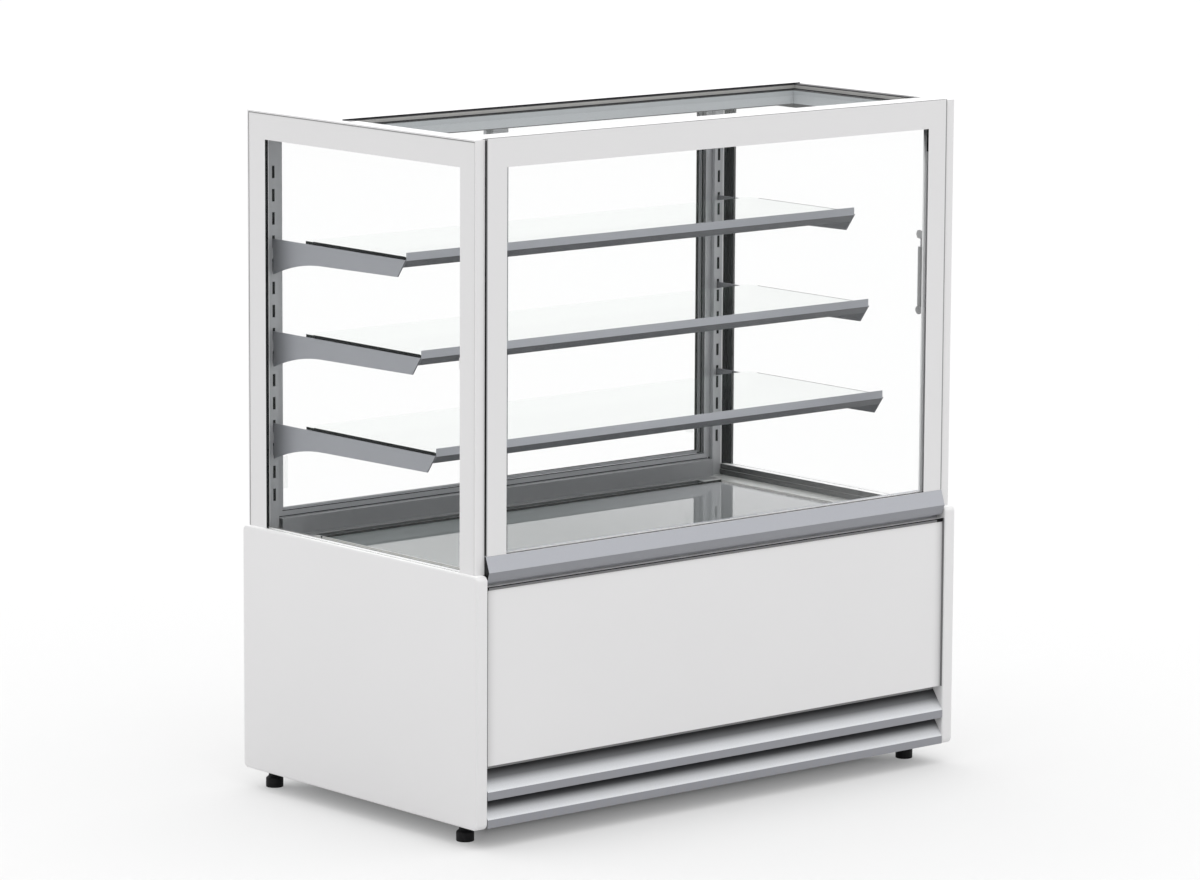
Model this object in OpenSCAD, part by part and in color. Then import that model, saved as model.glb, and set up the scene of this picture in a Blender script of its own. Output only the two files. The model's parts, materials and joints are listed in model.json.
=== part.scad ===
// Refrigerated pastry display case: a glazed cabinet on a panelled base with levelling feet.
// Millimetres, +Z up, origin on the floor under the middle of the base, front towards -Y.

/* [Overall] */
// Width over the base side panels
case_w = 1365; // [1100:5:1800]
// Depth over the base side panels
case_d = 800; // [760:5:950]
// Height of the side frame tops above the floor
case_h = 1479; // [1400:1:1700]
// Height of the base side panel tops above the floor
base_top = 579; // [560:1:600]
// Height of the base side panel undersides above the floor
floor_gap = 43.5; // [40:0.5:60]

/* [Base] */
// Thickness of a base side panel
panel_t = 30; // [20:1:32]
// Corner radius of a base side panel seen from the side
panel_corner_r = 11; // [4:1:25]
// Sheet thickness of the steel panels
sheet_t = 1.5; // [1:0.1:2.5]
// Depth of the front panel behind the side panels' front edges
front_panel_set = 7.6; // [4:0.2:12]
// Height from the side panel underside to the front panel's lower edge
louvre_zone_h = 132.3; // [125:0.5:170]
// Height from the front panel's upper edge to the side panel tops
front_panel_drop = 25; // [18:0.5:40]
// Depth of the folded edges of the front panel
panel_fold = 18; // [8:1:24]
// Height of a louvre blade's front lip
louvre_lip_h = 17.4; // [10:0.2:24]
// Height from one louvre blade to the next
louvre_pitch = 58.8; // [54:0.2:66]
// Depth of a louvre blade behind its lip
louvre_depth = 30; // [20:1:40]
// Rise of a louvre blade from its lip to its rear flange
louvre_rise = 42.5; // [30:0.5:48]
// Height of a louvre blade's rear flange
louvre_flange_h = 10; // [4:0.5:12]
// Thickness of a louvre blade
louvre_t = 2; // [1:0.1:3]

/* [Sill] */
// Height of the sill's upper slope
sill_rise = 32.7; // [20:0.1:40]
// Height of the sill's lower slope
sill_fall = 20.9; // [12:0.1:24]
// Height of the sill's nose above the side panel tops
nose_above = 5.2; // [2:0.1:10]
// Depth of the sill's flat top behind the front glass line
sill_top_d = 30; // [24:1:36]

/* [Side frames] */
// Distance of a side frame behind the base side panel's outer face
frame_set = 7.7; // [4:0.1:10]
// Thickness of a side frame
frame_t = 24.6; // [22:0.2:30]
// Distance of a side frame behind the front edge of the base
frame_front_set = 15.8; // [10:0.2:22]
// Distance of a side frame ahead of the rear edge of the base
frame_rear_set = 13.6; // [8:0.2:20]
// Depth of the front upright of a side frame
frame_front_w = 48; // [36:0.5:50]
// Height of the top rail of a side frame
frame_top_h = 45; // [44:0.5:55]
// Width of the lip round a side frame's outer face
frame_lip = 3; // [1.5:0.1:5]
// Distance of a side pane behind the lip's face
pane_set = 1; // [0.5:0.1:2]
// Thickness of a side pane
side_pane_t = 6; // [4:0.5:8]

/* [Front sash] */
// Distance of the front glass behind the base's front edge
glass_front_set = 11.2; // [9:0.2:14]
// Thickness of the front glass
front_pane_t = 6; // [4:0.5:8]
// Gap between the front glass and a side frame
glass_side_gap = 1; // [0.6:0.1:2]
// Height of the front glass above the side frame tops
glass_over = 2.3; // [0:0.1:4]
// Width of a sash stile
sash_stile_w = 51.3; // [40:0.5:60]
// Height of the sash's top rail
sash_top_h = 57; // [40:0.5:70]
// Depth of the sash behind the glass
sash_t = 10; // [8:0.5:12]
// Gap between the sash and a side frame
sash_side_gap = 3.7; // [2:0.1:5]
// Largest angle that the front sash lifts through
sash_open_deg = 25; // [10:1:25]
// Diameter of a hinge pin
hinge_pin_d = 6; // [4:0.5:7]
// Height of the hinge axis below the side frame tops
hinge_drop = 7; // [6:0.5:9]

/* [Gas struts] */
// Distance from the side frame to the middle of a strut
strut_in = 13.2; // [12:0.2:15]
// Distance of the strut pivots behind the base's front edge
strut_set = 74; // [70:1:80]
// Height of the lower strut pivot above the base side panel tops
strut_low = 433; // [400:1:460]
// Distance between a closed strut's pivots
strut_len = 168; // [150:1:180]
// Diameter of a strut cylinder
strut_tube_d = 10; // [8:0.5:11]
// Diameter of a strut rod
strut_rod_d = 4; // [3:0.5:5]
// Diameter of a strut's end eyes
strut_eye_d = 14; // [12:0.5:16]
// Thickness of a strut's end eyes
strut_eye_t = 7; // [5:0.5:8]
// Diameter of the studs that carry a strut
strut_stud_d = 6; // [4:0.5:7]

/* [Roof] */
// Depth of the front top rail
top_rail_d = 61; // [45:1:70]
// Height of the front top rail
top_rail_h = 42; // [30:1:44]
// Depth of the roof cover behind the glass roof
cover_d = 299; // [240:1:320]
// Height of the roof cover and of the roof frame
roof_h = 45; // [35:1:50]
// Width of the roof frame's side flanges
roof_flange = 18.9; // [14:0.1:24]
// Width of the ledge that carries the roof glass
roof_ledge = 8; // [5:0.5:12]
// Height of the roof glass ledge below the top
roof_ledge_drop = 12; // [9:0.5:16]
// Thickness of the roof glass
roof_pane_t = 6; // [4:0.5:8]

/* [Rear posts] */
// Distance from the base's rear edge to the posts' front faces
post_front = 56; // [50:1:60]
// Width of a post
post_w = 24; // [20:1:28]
// Wall of a post
post_wall = 2; // [1.5:0.1:2.5]
// Height from one slot to the next
slot_pitch = 50; // [44:1:60]
// Height of a slot
slot_h = 27; // [20:1:30]
// Width of a slot
slot_w = 7; // [5:0.5:9]
// Distance from the top of the case to the middle of the highest slot
slot_drop = 132.7; // [100:0.5:150]
// Least height of the lowest slot's middle above the deck ledge
slot_low_gap = 90; // [60:1:91]

/* [Shelves] */
// Reach of the upper shelf's brackets ahead of the posts
upper_reach = 455; // [380:1:520]
// How much further each lower shelf reaches
reach_step = 49.6; // [30:0.2:60]
// Thickness of a shelf bracket
bracket_t = 3; // [2:0.1:4]
// Height of a bracket at the post
bracket_rear_h = 77; // [70:1:84]
// Height of a bracket at its narrowest
bracket_waist_h = 42.3; // [36:0.1:50]
// Height of a bracket at its tip
bracket_tip_h = 37.9; // [32:0.1:44]
// How far the tip slopes back
bracket_tip_back = 27.4; // [15:0.1:36]
// Distance from the post to the bracket's waist
bracket_waist_y = 178; // [140:1:210]
// Height of a bracket's top above the middle of its slot
bracket_top_up = 6.5; // [4:0.5:8]
// Width of the flange along a bracket's top edge
bracket_flange_w = 7; // [5:0.5:20]
// Gap between the posts and the shelf glass
shelf_rear_gap = 110; // [60:1:140]
// Thickness of a shelf glass
shelf_glass_t = 6; // [4:0.5:8]
// Distance from a bracket's tip to the glass under the rail's lip
shelf_nose_gap = 1; // [0.5:0.5:3]
// Height of a shelf rail's front face
rail_h = 17; // [12:0.5:22]
// Thickness of a shelf rail's walls
rail_t = 1.6; // [1:0.1:2.5]
// Distance from a bracket's top down to the rail's fold
rail_low = 1.5; // [0.5:0.1:4]
// Share of the bracket's tip slope that the rail's channel covers
rail_slope_share = 0.40; // [0.2:0.01:0.6]

/* [Rear doors] */
// Distance from the base's rear edge to the door frame's front face
door_frame_front = 45.5; // [44:0.5:48]
// Width of a door jamb
jamb_w = 41.3; // [36:0.1:50]
// Height of the door frame's sill above the deck ledge
door_sill_h = 53; // [44:0.5:60]
// Height of the door frame's head
door_head_h = 25.5; // [24:0.5:40]
// Thickness of a sliding door
door_t = 9.5; // [8:0.1:10]
// Running gap beside a door in its track
door_gap = 1.4; // [1:0.1:1.6]
// Depth of the lower tracks
track_low = 8; // [6:0.5:12]
// Depth of the upper tracks
track_high = 20; // [16:0.5:22]
// Depth of the tracks in the jambs
track_side = 24; // [16:0.5:24]
// Width of a door's meeting stile
door_stile_w = 43; // [36:0.5:46]
// Width of a door's side stile, most of it in the jamb's track
door_side_stile_w = 29; // [26:0.5:40]
// Width of a door's top and bottom rails
door_rail_w = 11; // [10:0.5:30]
// How far the two closed doors overlap
door_overlap = 52; // [46:1:60]
// Distance that a door slides
door_travel = 560; // [300:5:560]
// Thickness of a door pane
door_pane_t = 4; // [3:0.5:6]
// Width of a door pull
pull_w = 16; // [12:0.5:18]
// Height of a door pull
pull_h = 70; // [50:1:110]
// Height of the door pulls above the door frame's sill
pull_up = 45; // [30:1:300]
// How far the outer door's pull stands out from its pane
pull_out = 12; // [8:0.5:13]
// Thickness of the inner door's flat pull
pull_flat = 2.4; // [1.5:0.1:2.5]

/* [Deck] */
// Height of the side panel tops above the deck ledge
ledge_drop = 24; // [16:0.5:30]
// Width of the deck ledge at the sides
ledge_side = 78; // [60:1:110]
// Distance from the base's front edge to the deck plate
deck_front = 92; // [80:1:120]
// Distance from the rear air slot to the rear upstand
slot_back_gap = 25; // [16:1:60]
// Depth of the rear air slot
air_slot_d = 51; // [30:1:53]
// How far the air slots end inside the deck plate's ends
air_slot_in = 22; // [10:1:60]
// Depth of the front return slot
return_slot_d = 18; // [12:1:24]
// Height of the trim round the deck plate
trim_h = 6; // [4:0.5:9]
// Thickness of the trim round the deck plate
trim_t = 3; // [2:0.5:5]
// Width of the ledge under the deck plate's edges
deck_lap = 12; // [6:0.5:20]
// Height of the rear upstand above the ledge
upstand_h = 38; // [25:0.5:42]
// Distance from the base's rear edge to the upstand's front face
upstand_front = 64; // [62:1:70]
// Gap between the upstand's end and a post
upstand_gap = 4.5; // [2:0.5:8]

/* [Cold well] */
// Depth of the cold well below the deck ledge
well_h = 220; // [190:1:230]
// Thickness of the cold well's insulated walls
well_wall = 32; // [20:1:40]
// Gap between the cold well and the panels round it
well_gap = 12; // [6:1:20]
// Length of the evaporator block
evap_w = 760; // [500:5:900]
// Depth of the evaporator block
evap_d = 120; // [80:5:150]
// Height of the evaporator block
evap_h = 120; // [90:5:140]
// Outer diameter of an evaporator fan's blades
evap_fan_d = 110; // [80:1:112]

/* [Machinery] */
// Height of the chassis floor above the side panel undersides
chassis_up = 18; // [14:1:24]
// Height of the chassis tray's walls
chassis_wall_h = 30; // [20:1:38]
// Diameter of the compressor's shell
comp_d = 170; // [130:1:190]
// Height of the compressor's shell
comp_h = 190; // [150:1:200]
// Width of the condenser
cond_w = 300; // [220:5:340]
// Height of the condenser
cond_h = 220; // [180:5:230]
// Thickness of the condenser's finned block
cond_d = 50; // [30:1:70]
// Outer diameter of the condenser fan's blades
cond_fan_d = 180; // [140:1:190]
// Outer diameter of the copper pipes
pipe_d = 9.5; // [6:0.5:12]
// Width of the drain tray
tray_w = 260; // [180:5:320]
// Depth of the drain tray
tray_d = 230; // [160:5:260]
// Height of the drain tray
tray_h = 45; // [30:1:50]
// Distance that the drain tray slides out
tray_travel = 200; // [100:5:220]

/* [Controls] */
// Height of the control panel
control_h = 74; // [60:1:90]
// Width of a rocker switch
rocker_w = 14; // [10:0.5:18]
// Height of a rocker switch
rocker_h = 24; // [18:0.5:28]
// Diameter of the power cable's gland
gland_d = 22; // [16:1:26]

/* [Feet] */
// Distance from the base's side to a foot's axis
foot_side = 50.6; // [45:0.2:80]
// Distance from the base's front edge to the front feet
foot_front = 99.5; // [60:0.5:120]
// Distance from the base's rear edge to the rear feet
foot_rear = 44; // [40:0.5:90]
// Diameter of a foot pad
foot_pad_d = 38; // [30:1:44]
// Height of a foot pad
foot_pad_h = 20; // [14:1:24]
// Diameter of a foot's screw
foot_screw_d = 10; // [8:1:12]
// Length of a foot's screw above its pad
foot_screw_l = 85; // [75:1:95]
// Distance that a foot screws out
foot_travel = 25; // [10:1:30]

/* [Hidden] */
$fn = 48;

// Overrun of every cut past the face that it opens
over = 1;
// Gap between pieces that lie beside each other
fit_gap = 0.3;
// Radial clearance of a running fit
run_gap = 0.05;

white = [0.87, 0.86, 0.86];
steel = [0.66, 0.67, 0.70];
dark_steel = [0.38, 0.39, 0.41];
black = [0.06, 0.06, 0.06];
clear = [0.80, 0.90, 0.88, 0.35];
copper = [0.72, 0.45, 0.30];
foam_grey = [0.75, 0.76, 0.77];

// Main planes
left_x = -case_w / 2;
front_y = -case_d / 2;
rear_y = case_d / 2;
panel_in_x = left_x + panel_t;
ledge_z = base_top - ledge_drop;
frame_out_x = left_x + frame_set;
frame_in_x = frame_out_x + frame_t;
frame_y0 = front_y + frame_front_set;
frame_y1 = rear_y - frame_rear_set;
post_y = rear_y - post_front;
door_frame_y = rear_y - door_frame_front;
chassis_z = floor_gap + chassis_up;

// Front panel and louvres
front_panel_z0 = floor_gap + louvre_zone_h;
front_panel_z1 = base_top - front_panel_drop;
louvre_low = 2.6;
louvre_lip_z = floor_gap + louvre_low;

// Sill
nose_z = base_top + nose_above;
sill_top_z = nose_z + sill_rise;
sill_low_z = nose_z - sill_fall;
glass_y = front_y + glass_front_set;

// Side frames
frame_rear_w = frame_y1 - post_y;
pane_x = frame_out_x + pane_set;
frame_body_x = pane_x + side_pane_t;
pane_y0 = frame_y0 + frame_lip + fit_gap;
pane_y1 = frame_y1 - frame_lip - fit_gap;
pane_z1 = case_h - frame_lip - fit_gap;

// Front sash
glass_x = frame_in_x + glass_side_gap;
glass_back_y = glass_y + front_pane_t;
glass_z0 = sill_top_z + fit_gap;
glass_z1 = case_h + glass_over;
sash_x = frame_in_x + sash_side_gap;
sash_back_y = glass_back_y + sash_t;
hinge_y = glass_back_y + sash_t / 2;
hinge_z = case_h - hinge_drop;
rail_front_gap = 4.5;
top_rail_y0 = sash_back_y + rail_front_gap;
top_rail_y1 = top_rail_y0 + top_rail_d;

// Struts
strut_x = frame_in_x + strut_in;
strut_y = front_y + strut_set;
strut_z0 = base_top + strut_low;
strut_z1 = strut_z0 + strut_len;
eye_share = 0.72;
tube_end_share = 0.80;
stay_t = 3;
stay_h = 16;

// Roof
roof_z0 = case_h - roof_h;
cover_y0 = frame_y1 - cover_d;
roof_glass_z = case_h - roof_ledge_drop;
roof_open_x = frame_in_x + roof_flange;
roof_wall = 2;

// Posts and slots
post_x = frame_in_x;
post_mid_x = post_x + post_w / 2;
post_z0 = ledge_z;
top_slot_z = case_h - slot_drop;
slot_count = floor((top_slot_z - ledge_z - slot_low_gap) / slot_pitch) + 1;
function slot_z(k) = top_slot_z - (k - 1) * slot_pitch;

// Shelves
// The shelves share the slots evenly, from the top of the posts down
shelf_count = 3;
shelf_step = floor((slot_count - shelf_count) / shelf_count);
upper_slot = shelf_step;
function shelf_slot(i) = upper_slot + i * shelf_step;
function shelf_z(i) = slot_z(shelf_slot(i)) + bracket_top_up;
function shelf_tip_y(i) = post_y - upper_reach - i * reach_step;
bracket_x0 = post_mid_x - bracket_t / 2;
hook_in = 6;
hook_drop = 4;
hook_top_share = 0.22;
shelf_glass_x = bracket_x0 + bracket_t + shelf_nose_gap;

// Rear doors
door_frame_z0 = ledge_z;
door_frame_z1 = roof_z0 - fit_gap;
door_open_z0 = ledge_z + door_sill_h;
door_open_z1 = door_frame_z1 - door_head_h;
door_open_x = frame_in_x + jamb_w;
track_w = door_t + 2 * door_gap;
track_lip = 3;
track_rib = 2;
inner_track_y = door_frame_y + track_lip;
outer_track_y = inner_track_y + track_w + track_rib;
door_run = 0.5;
door_z0 = door_open_z0 - track_low + door_run;
door_z1 = door_open_z1 + track_high - track_low;
door_end_x = door_open_x - track_side + door_run;
door_pane_x = door_end_x + door_side_stile_w;

// Deck
ledge_x = panel_in_x;
deck_x = left_x + ledge_side + panel_t;
deck_y0 = front_y + deck_front;
upstand_y = rear_y - upstand_front;
slot_y1 = upstand_y - slot_back_gap;
slot_y0 = slot_y1 - air_slot_d;
upstand_x = post_x + post_w + upstand_gap;
ledge_step = 2.3;
deck_y1 = slot_y0 - trim_t;

// Cold well
well_z0 = ledge_z - sheet_t - well_h;
well_x = panel_in_x + well_gap;
well_y0 = front_y + front_panel_set + panel_fold + well_gap;
well_y1 = rear_y - door_frame_front;
well_in_x = well_x + well_wall;
well_in_y0 = well_y0 + well_wall;
well_in_y1 = well_y1 - well_wall;
well_floor_z = well_z0 + well_wall;
evap_y1 = well_in_y1 - well_wall;
evap_y0 = evap_y1 - evap_d;

// Machinery
service_y = rear_y - frame_rear_set;
control_z1 = ledge_z - sheet_t - fit_gap;
control_z0 = control_z1 - control_h;
service_z0 = chassis_z;
service_z1 = control_z0 - fit_gap;
comp_share = 0.16;
comp_x = case_w * comp_share;
comp_back = 210;
comp_y = service_y - comp_back - comp_d / 2;
cond_share = -0.12;
cond_x = case_w * cond_share;
cond_y = front_y + front_panel_set + panel_fold + louvre_depth;
tray_share = -0.30;
tray_x = case_w * tray_share;
drain_place_share = 0.25;
tray_y1 = service_y - fit_gap;

module slab(x0, x1, y0, y1, z0, z1) {
    translate([x0, y0, z0]) cube([x1 - x0, y1 - y0, z1 - z0]);
}

// A box that reaches alike to both sides of the middle plane
module centred_slab(x0, y0, y1, z0, z1) {
    slab(x0, -x0, y0, y1, z0, z1);
}

module mirrored() {
    mirror([1, 0, 0]) children();
}

module both_sides() {
    children();
    mirrored() children();
}

// A plate of thickness t from x, whose outline is drawn with Y across and Z up
module side_plate(x, t) {
    translate([x, 0, 0]) rotate([90, 0, 90]) linear_extrude(t) children();
}

module rounded_rect(y0, y1, z0, z1, r) {
    translate([y0, z0 + r]) square([y1 - y0, z1 - z0 - 2 * r]);
    translate([y0 + r, z0]) square([y1 - y0 - 2 * r, z1 - z0]);
    for (y = [y0 + r, y1 - r], z = [z0 + r, z1 - r]) translate([y, z]) circle(r);
}

module rod_x(x0, x1, y, z, d) {
    translate([x0, y, z]) rotate([0, 90, 0]) cylinder(h = x1 - x0, d = d);
}

module rod_y(y0, y1, x, z, d) {
    translate([x, y0, z]) rotate([-90, 0, 0]) cylinder(h = y1 - y0, d = d);
}

// Base
module base_panel() {
    color(white) side_plate(left_x, panel_t)
        rounded_rect(front_y, rear_y, floor_gap, base_top, panel_corner_r);
}

module left_base_panel() {
    base_panel();
}

module right_base_panel() {
    mirrored() base_panel();
}

foot_boss_d = 26;
foot_boss_h = 12;
runner_t = 2;
runner_h = 12;

module foot_places() {
    for (side = [-1, 1], y = [front_y + foot_front, rear_y - foot_rear])
        translate([side * (case_w / 2 - foot_side), y, 0]) children();
}

module chassis_tray() {
    x0 = panel_in_x + fit_gap;
    y0 = front_y + front_panel_set + panel_fold + louvre_depth / 2;
    y1 = service_y - fit_gap;
    color(foam_grey) difference() {
        union() {
            centred_slab(x0, y0, y1, chassis_z, chassis_z + sheet_t);
            for (y = [y0, y1 - sheet_t])
                centred_slab(x0, y, y + sheet_t, chassis_z, chassis_z + chassis_wall_h);
            both_sides() slab(x0, x0 + sheet_t, y0, y1, chassis_z, chassis_z + chassis_wall_h);
            foot_places() translate([0, 0, chassis_z]) cylinder(h = foot_boss_h, d = foot_boss_d);
            for (side = [-1, 1])
                translate([tray_x + side * (tray_w / 2 + fit_gap + runner_t / 2) - runner_t / 2,
                    tray_y1 - tray_d, chassis_z]) cube([runner_t, tray_d, sheet_t + runner_h]);
        }
        foot_places() translate([0, 0, chassis_z - over])
            cylinder(h = foot_boss_h + 2 * over, d = foot_screw_d + 2 * run_gap);
        slab(tray_x - tray_w / 2 - fit_gap, tray_x + tray_w / 2 + fit_gap,
            y1 - sheet_t - over, y1 + over, chassis_z + sheet_t, chassis_z + chassis_wall_h + over);
        rod_y(y1 - sheet_t - over, y1 + over, gland_x, gland_z, gland_d + 2 * fit_gap);
    }
}

module front_panel() {
    x0 = panel_in_x + fit_gap;
    y0 = front_y + front_panel_set;
    color(white) {
        centred_slab(x0, y0, y0 + sheet_t, front_panel_z0, front_panel_z1);
        for (z = [front_panel_z0, front_panel_z1 - sheet_t])
            centred_slab(x0, y0 + sheet_t, y0 + panel_fold, z, z + sheet_t);
        both_sides() slab(x0, x0 + sheet_t, y0 + sheet_t, y0 + panel_fold,
            front_panel_z0 + sheet_t, front_panel_z1 - sheet_t);
    }
}

// A folded section: nose, flat top under the glass, rear wall down to the ledge
module front_sill() {
    y_low = front_y + front_panel_set;
    y_back = glass_y + sill_top_d;
    x0 = frame_in_x + fit_gap;
    length = -2 * x0;
    inner_nose = [[glass_y + sheet_t, sill_top_z - sheet_t], [front_y + sheet_t, nose_z],
        [y_low + sheet_t, sill_low_z + sheet_t], [y_back - sheet_t, sill_low_z + sheet_t],
        [y_back - sheet_t, sill_top_z - sheet_t]];
    color(steel) {
        difference() {
            side_plate(x0, length) polygon([[glass_y, sill_top_z], [front_y, nose_z],
                [y_low, sill_low_z], [y_back, sill_low_z], [y_back, sill_top_z]]);
            side_plate(x0 + sheet_t, length - 2 * sheet_t) polygon(inner_nose);
        }
        centred_slab(x0, y_low + panel_fold + fit_gap, y_back, ledge_z, sill_low_z);
    }
}

module louvre_section(z) {
    y0 = front_y;
    y1 = front_y + louvre_depth;
    z1 = z + louvre_lip_h;
    z2 = z1 + louvre_rise;
    polygon([[y0, z], [y0, z1], [y1, z2], [y1, z2 + louvre_flange_h],
        [y1 + louvre_t, z2 + louvre_flange_h], [y1 + louvre_t, z2 - louvre_t],
        [y0 + louvre_t, z1 - louvre_t], [y0 + louvre_t, z]]);
}

module louvre_blades() {
    length = case_w - 2 * (panel_t + fit_gap);
    color(steel) for (i = [0, 1])
        side_plate(-length / 2, length) louvre_section(louvre_lip_z + i * louvre_pitch);
}

grille_slot_w = 8;
grille_slot_h = 120;
grille_pitch = 20;
grille_count = 16;
grille_up = 60;

module rear_service_panel() {
    x0 = panel_in_x + fit_gap;
    grille_w = (grille_count - 1) * grille_pitch;
    color(white) difference() {
        centred_slab(x0, service_y, service_y + sheet_t, service_z0, service_z1);
        for (x = [comp_x, cond_x], i = [0 : grille_count - 1])
            translate([x - grille_w / 2 + i * grille_pitch, service_y - over,
                service_z0 + grille_up])
                cube([grille_slot_w, sheet_t + 2 * over, grille_slot_h]);
        slab(tray_x - tray_w / 2 - fit_gap, tray_x + tray_w / 2 + fit_gap, service_y - over,
            service_y + sheet_t + over, service_z0 - over, chassis_z + sheet_t + tray_h + over);
        rod_y(service_y - over, service_y + sheet_t + over, gland_x, gland_z,
            gland_d + 2 * run_gap);
    }
}

// Controls
rocker_share = 0.30;
rocker_x = case_w * rocker_share;
rocker_gap = 26;
rocker_depth = 9;
rocker_pin_d = 3;
rocker_end_gap = 0.8;
rocker_out = 3;
rocker_rise = 0.6;
rocker_well = 14;
rocker_back_share = 0.3;
rocker_taper_share = 0.7;
rocker_z = (control_z0 + control_z1) / 2;
rocker_y = service_y + sheet_t;
display_w = 56;
display_h = 26;
display_out = 2;

module rocker_places() {
    for (x = [rocker_x, rocker_x - rocker_gap]) translate([x, 0, 0]) children();
}

module control_panel() {
    x0 = panel_in_x + fit_gap;
    half_w = rocker_w / 2;
    half_h = rocker_h / 2;
    color(white) difference() {
        union() {
            centred_slab(x0, service_y, service_y + sheet_t, control_z0, control_z1);
            centred_slab(x0, service_y - panel_fold, service_y, control_z0, control_z0 + sheet_t);
            centred_slab(x0, service_y - panel_fold, service_y, control_z1 - sheet_t, control_z1);
            rocker_places() slab(-half_w - sheet_t, half_w + sheet_t, service_y - rocker_well,
                service_y, rocker_z - half_h - sheet_t, rocker_z + half_h + sheet_t);
        }
        rocker_places() {
            slab(-half_w, half_w, service_y - rocker_well + sheet_t, rocker_y + over,
                rocker_z - half_h, rocker_z + half_h);
            rod_x(-half_w - sheet_t - over, half_w + sheet_t + over,
                rocker_y - rocker_depth / 2, rocker_z, rocker_pin_d + 2 * run_gap);
        }
    }
}

module temperature_display() {
    x1 = rocker_x - 2 * rocker_gap;
    color(black) slab(x1 - display_w, x1, rocker_y, rocker_y + display_out,
        rocker_z - display_h / 2, rocker_z + display_h / 2);
}

// A seesaw key: its face is a shallow V about the pivot, with the lower wing out at rest
module rocker(x) {
    half_h = rocker_h / 2 - rocker_end_gap;
    half_w = rocker_w / 2 - rocker_end_gap;
    front = rocker_depth / 2;
    back = -rocker_depth * rocker_back_share;
    back_h = half_h * rocker_taper_share;
    color(black) translate([x, rocker_y - front, rocker_z]) {
        side_plate(-half_w, 2 * half_w) polygon([[back, -back_h], [back, back_h],
            [front + rocker_rise, half_h], [front, 0], [front + rocker_out, -half_h]]);
        rod_x(-rocker_w / 2 - sheet_t, rocker_w / 2 + sheet_t, 0, 0, rocker_pin_d);
    }
}

module main_switch() {
    rocker(rocker_x);
}

module light_switch() {
    rocker(rocker_x - rocker_gap);
}

// Deck and cold well
drain_d = 20;
drain_wall = 2;
drain_y = drain_place_share * tray_d + tray_y1 - tray_d;
drain_above = 12;

module cold_well() {
    z1 = ledge_z - sheet_t;
    drain_z0 = chassis_z + sheet_t + tray_h + drain_above;
    color(foam_grey) difference() {
        union() {
            centred_slab(well_x, well_y0, well_y1, well_z0, z1);
            translate([tray_x, drain_y, drain_z0])
                cylinder(h = well_floor_z - drain_z0, d = drain_d + 2 * drain_wall);
        }
        centred_slab(well_in_x, well_in_y0, well_in_y1, well_floor_z, z1 + over);
        translate([tray_x, drain_y, drain_z0 - over])
            cylinder(h = well_floor_z - drain_z0 + 2 * over, d = drain_d);
    }
}

module deck_ledge() {
    x0 = ledge_x + fit_gap;
    y0 = front_y + front_panel_set + panel_fold + fit_gap;
    y1 = service_y - fit_gap;
    y_sill = glass_y + sill_top_d + fit_gap;
    y_post = post_y - fit_gap;
    z0 = ledge_z - sheet_t;
    slot_x = deck_x + air_slot_in;
    step_z = ledge_z + ledge_drop / 2;
    strips = [[y0, deck_y0 - trim_t - return_slot_d], [deck_y0 - trim_t - fit_gap, deck_y0 + deck_lap],
        [deck_y1 - deck_lap, slot_y0], [slot_y1, y1]];
    color(steel) {
        for (strip = strips)
            centred_slab(slot_x + fit_gap, strip[0], strip[1], z0, ledge_z);
        both_sides() {
            slab(x0, slot_x, y0, y1, z0, ledge_z);
            slab(x0, x0 + ledge_step + sheet_t, y_sill, y_post, ledge_z, step_z);
            slab(x0, x0 + sheet_t, y_sill, y_post, step_z, base_top);
        }
    }
}

module deck_trim() {
    color(foam_grey) difference() {
        centred_slab(deck_x - trim_t, deck_y0 - trim_t, deck_y1 + trim_t,
            ledge_z, ledge_z + trim_h);
        centred_slab(deck_x, deck_y0, deck_y1, ledge_z - over, ledge_z + trim_h + over);
    }
}

module deck_plate() {
    color(steel) centred_slab(deck_x + fit_gap, deck_y0 + fit_gap, deck_y1 - fit_gap,
        ledge_z, ledge_z + sheet_t);
}

module rear_upstand() {
    z1 = ledge_z + upstand_h;
    color(steel) {
        centred_slab(upstand_x, upstand_y, upstand_y + sheet_t, ledge_z, z1);
        centred_slab(upstand_x, upstand_y + sheet_t, door_frame_y - fit_gap, z1 - sheet_t, z1);
    }
}

// Posts
module slotted_post() {
    difference() {
        slab(post_x, post_x + post_w, post_y, door_frame_y, post_z0, roof_z0 - fit_gap);
        slab(post_x + post_wall, post_x + post_w - post_wall, post_y + post_wall,
            door_frame_y + over, post_z0 - over, roof_z0 + over);
        for (k = [1 : slot_count])
            translate([post_mid_x - slot_w / 2, post_y - over, slot_z(k) - slot_h / 2])
                cube([slot_w, post_wall + 2 * over, slot_h]);
    }
}

module slotted_posts() {
    color(steel) both_sides() slotted_post();
}

// Rear doors
module rear_door_frame() {
    color(steel) difference() {
        centred_slab(frame_in_x, door_frame_y, frame_y1, door_frame_z0, door_frame_z1);
        centred_slab(door_open_x, door_frame_y - over, frame_y1 + over, door_open_z0, door_open_z1);
        for (y = [inner_track_y, outer_track_y])
            centred_slab(door_open_x - track_side, y, y + track_w,
                door_open_z0 - track_low, door_open_z1 + track_high);
    }
}

function door_y(side) = (side < 0 ? inner_track_y : outer_track_y) + door_gap;
function door_pane_rear(side) = door_y(side) + (door_t + door_pane_t) / 2;

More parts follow.
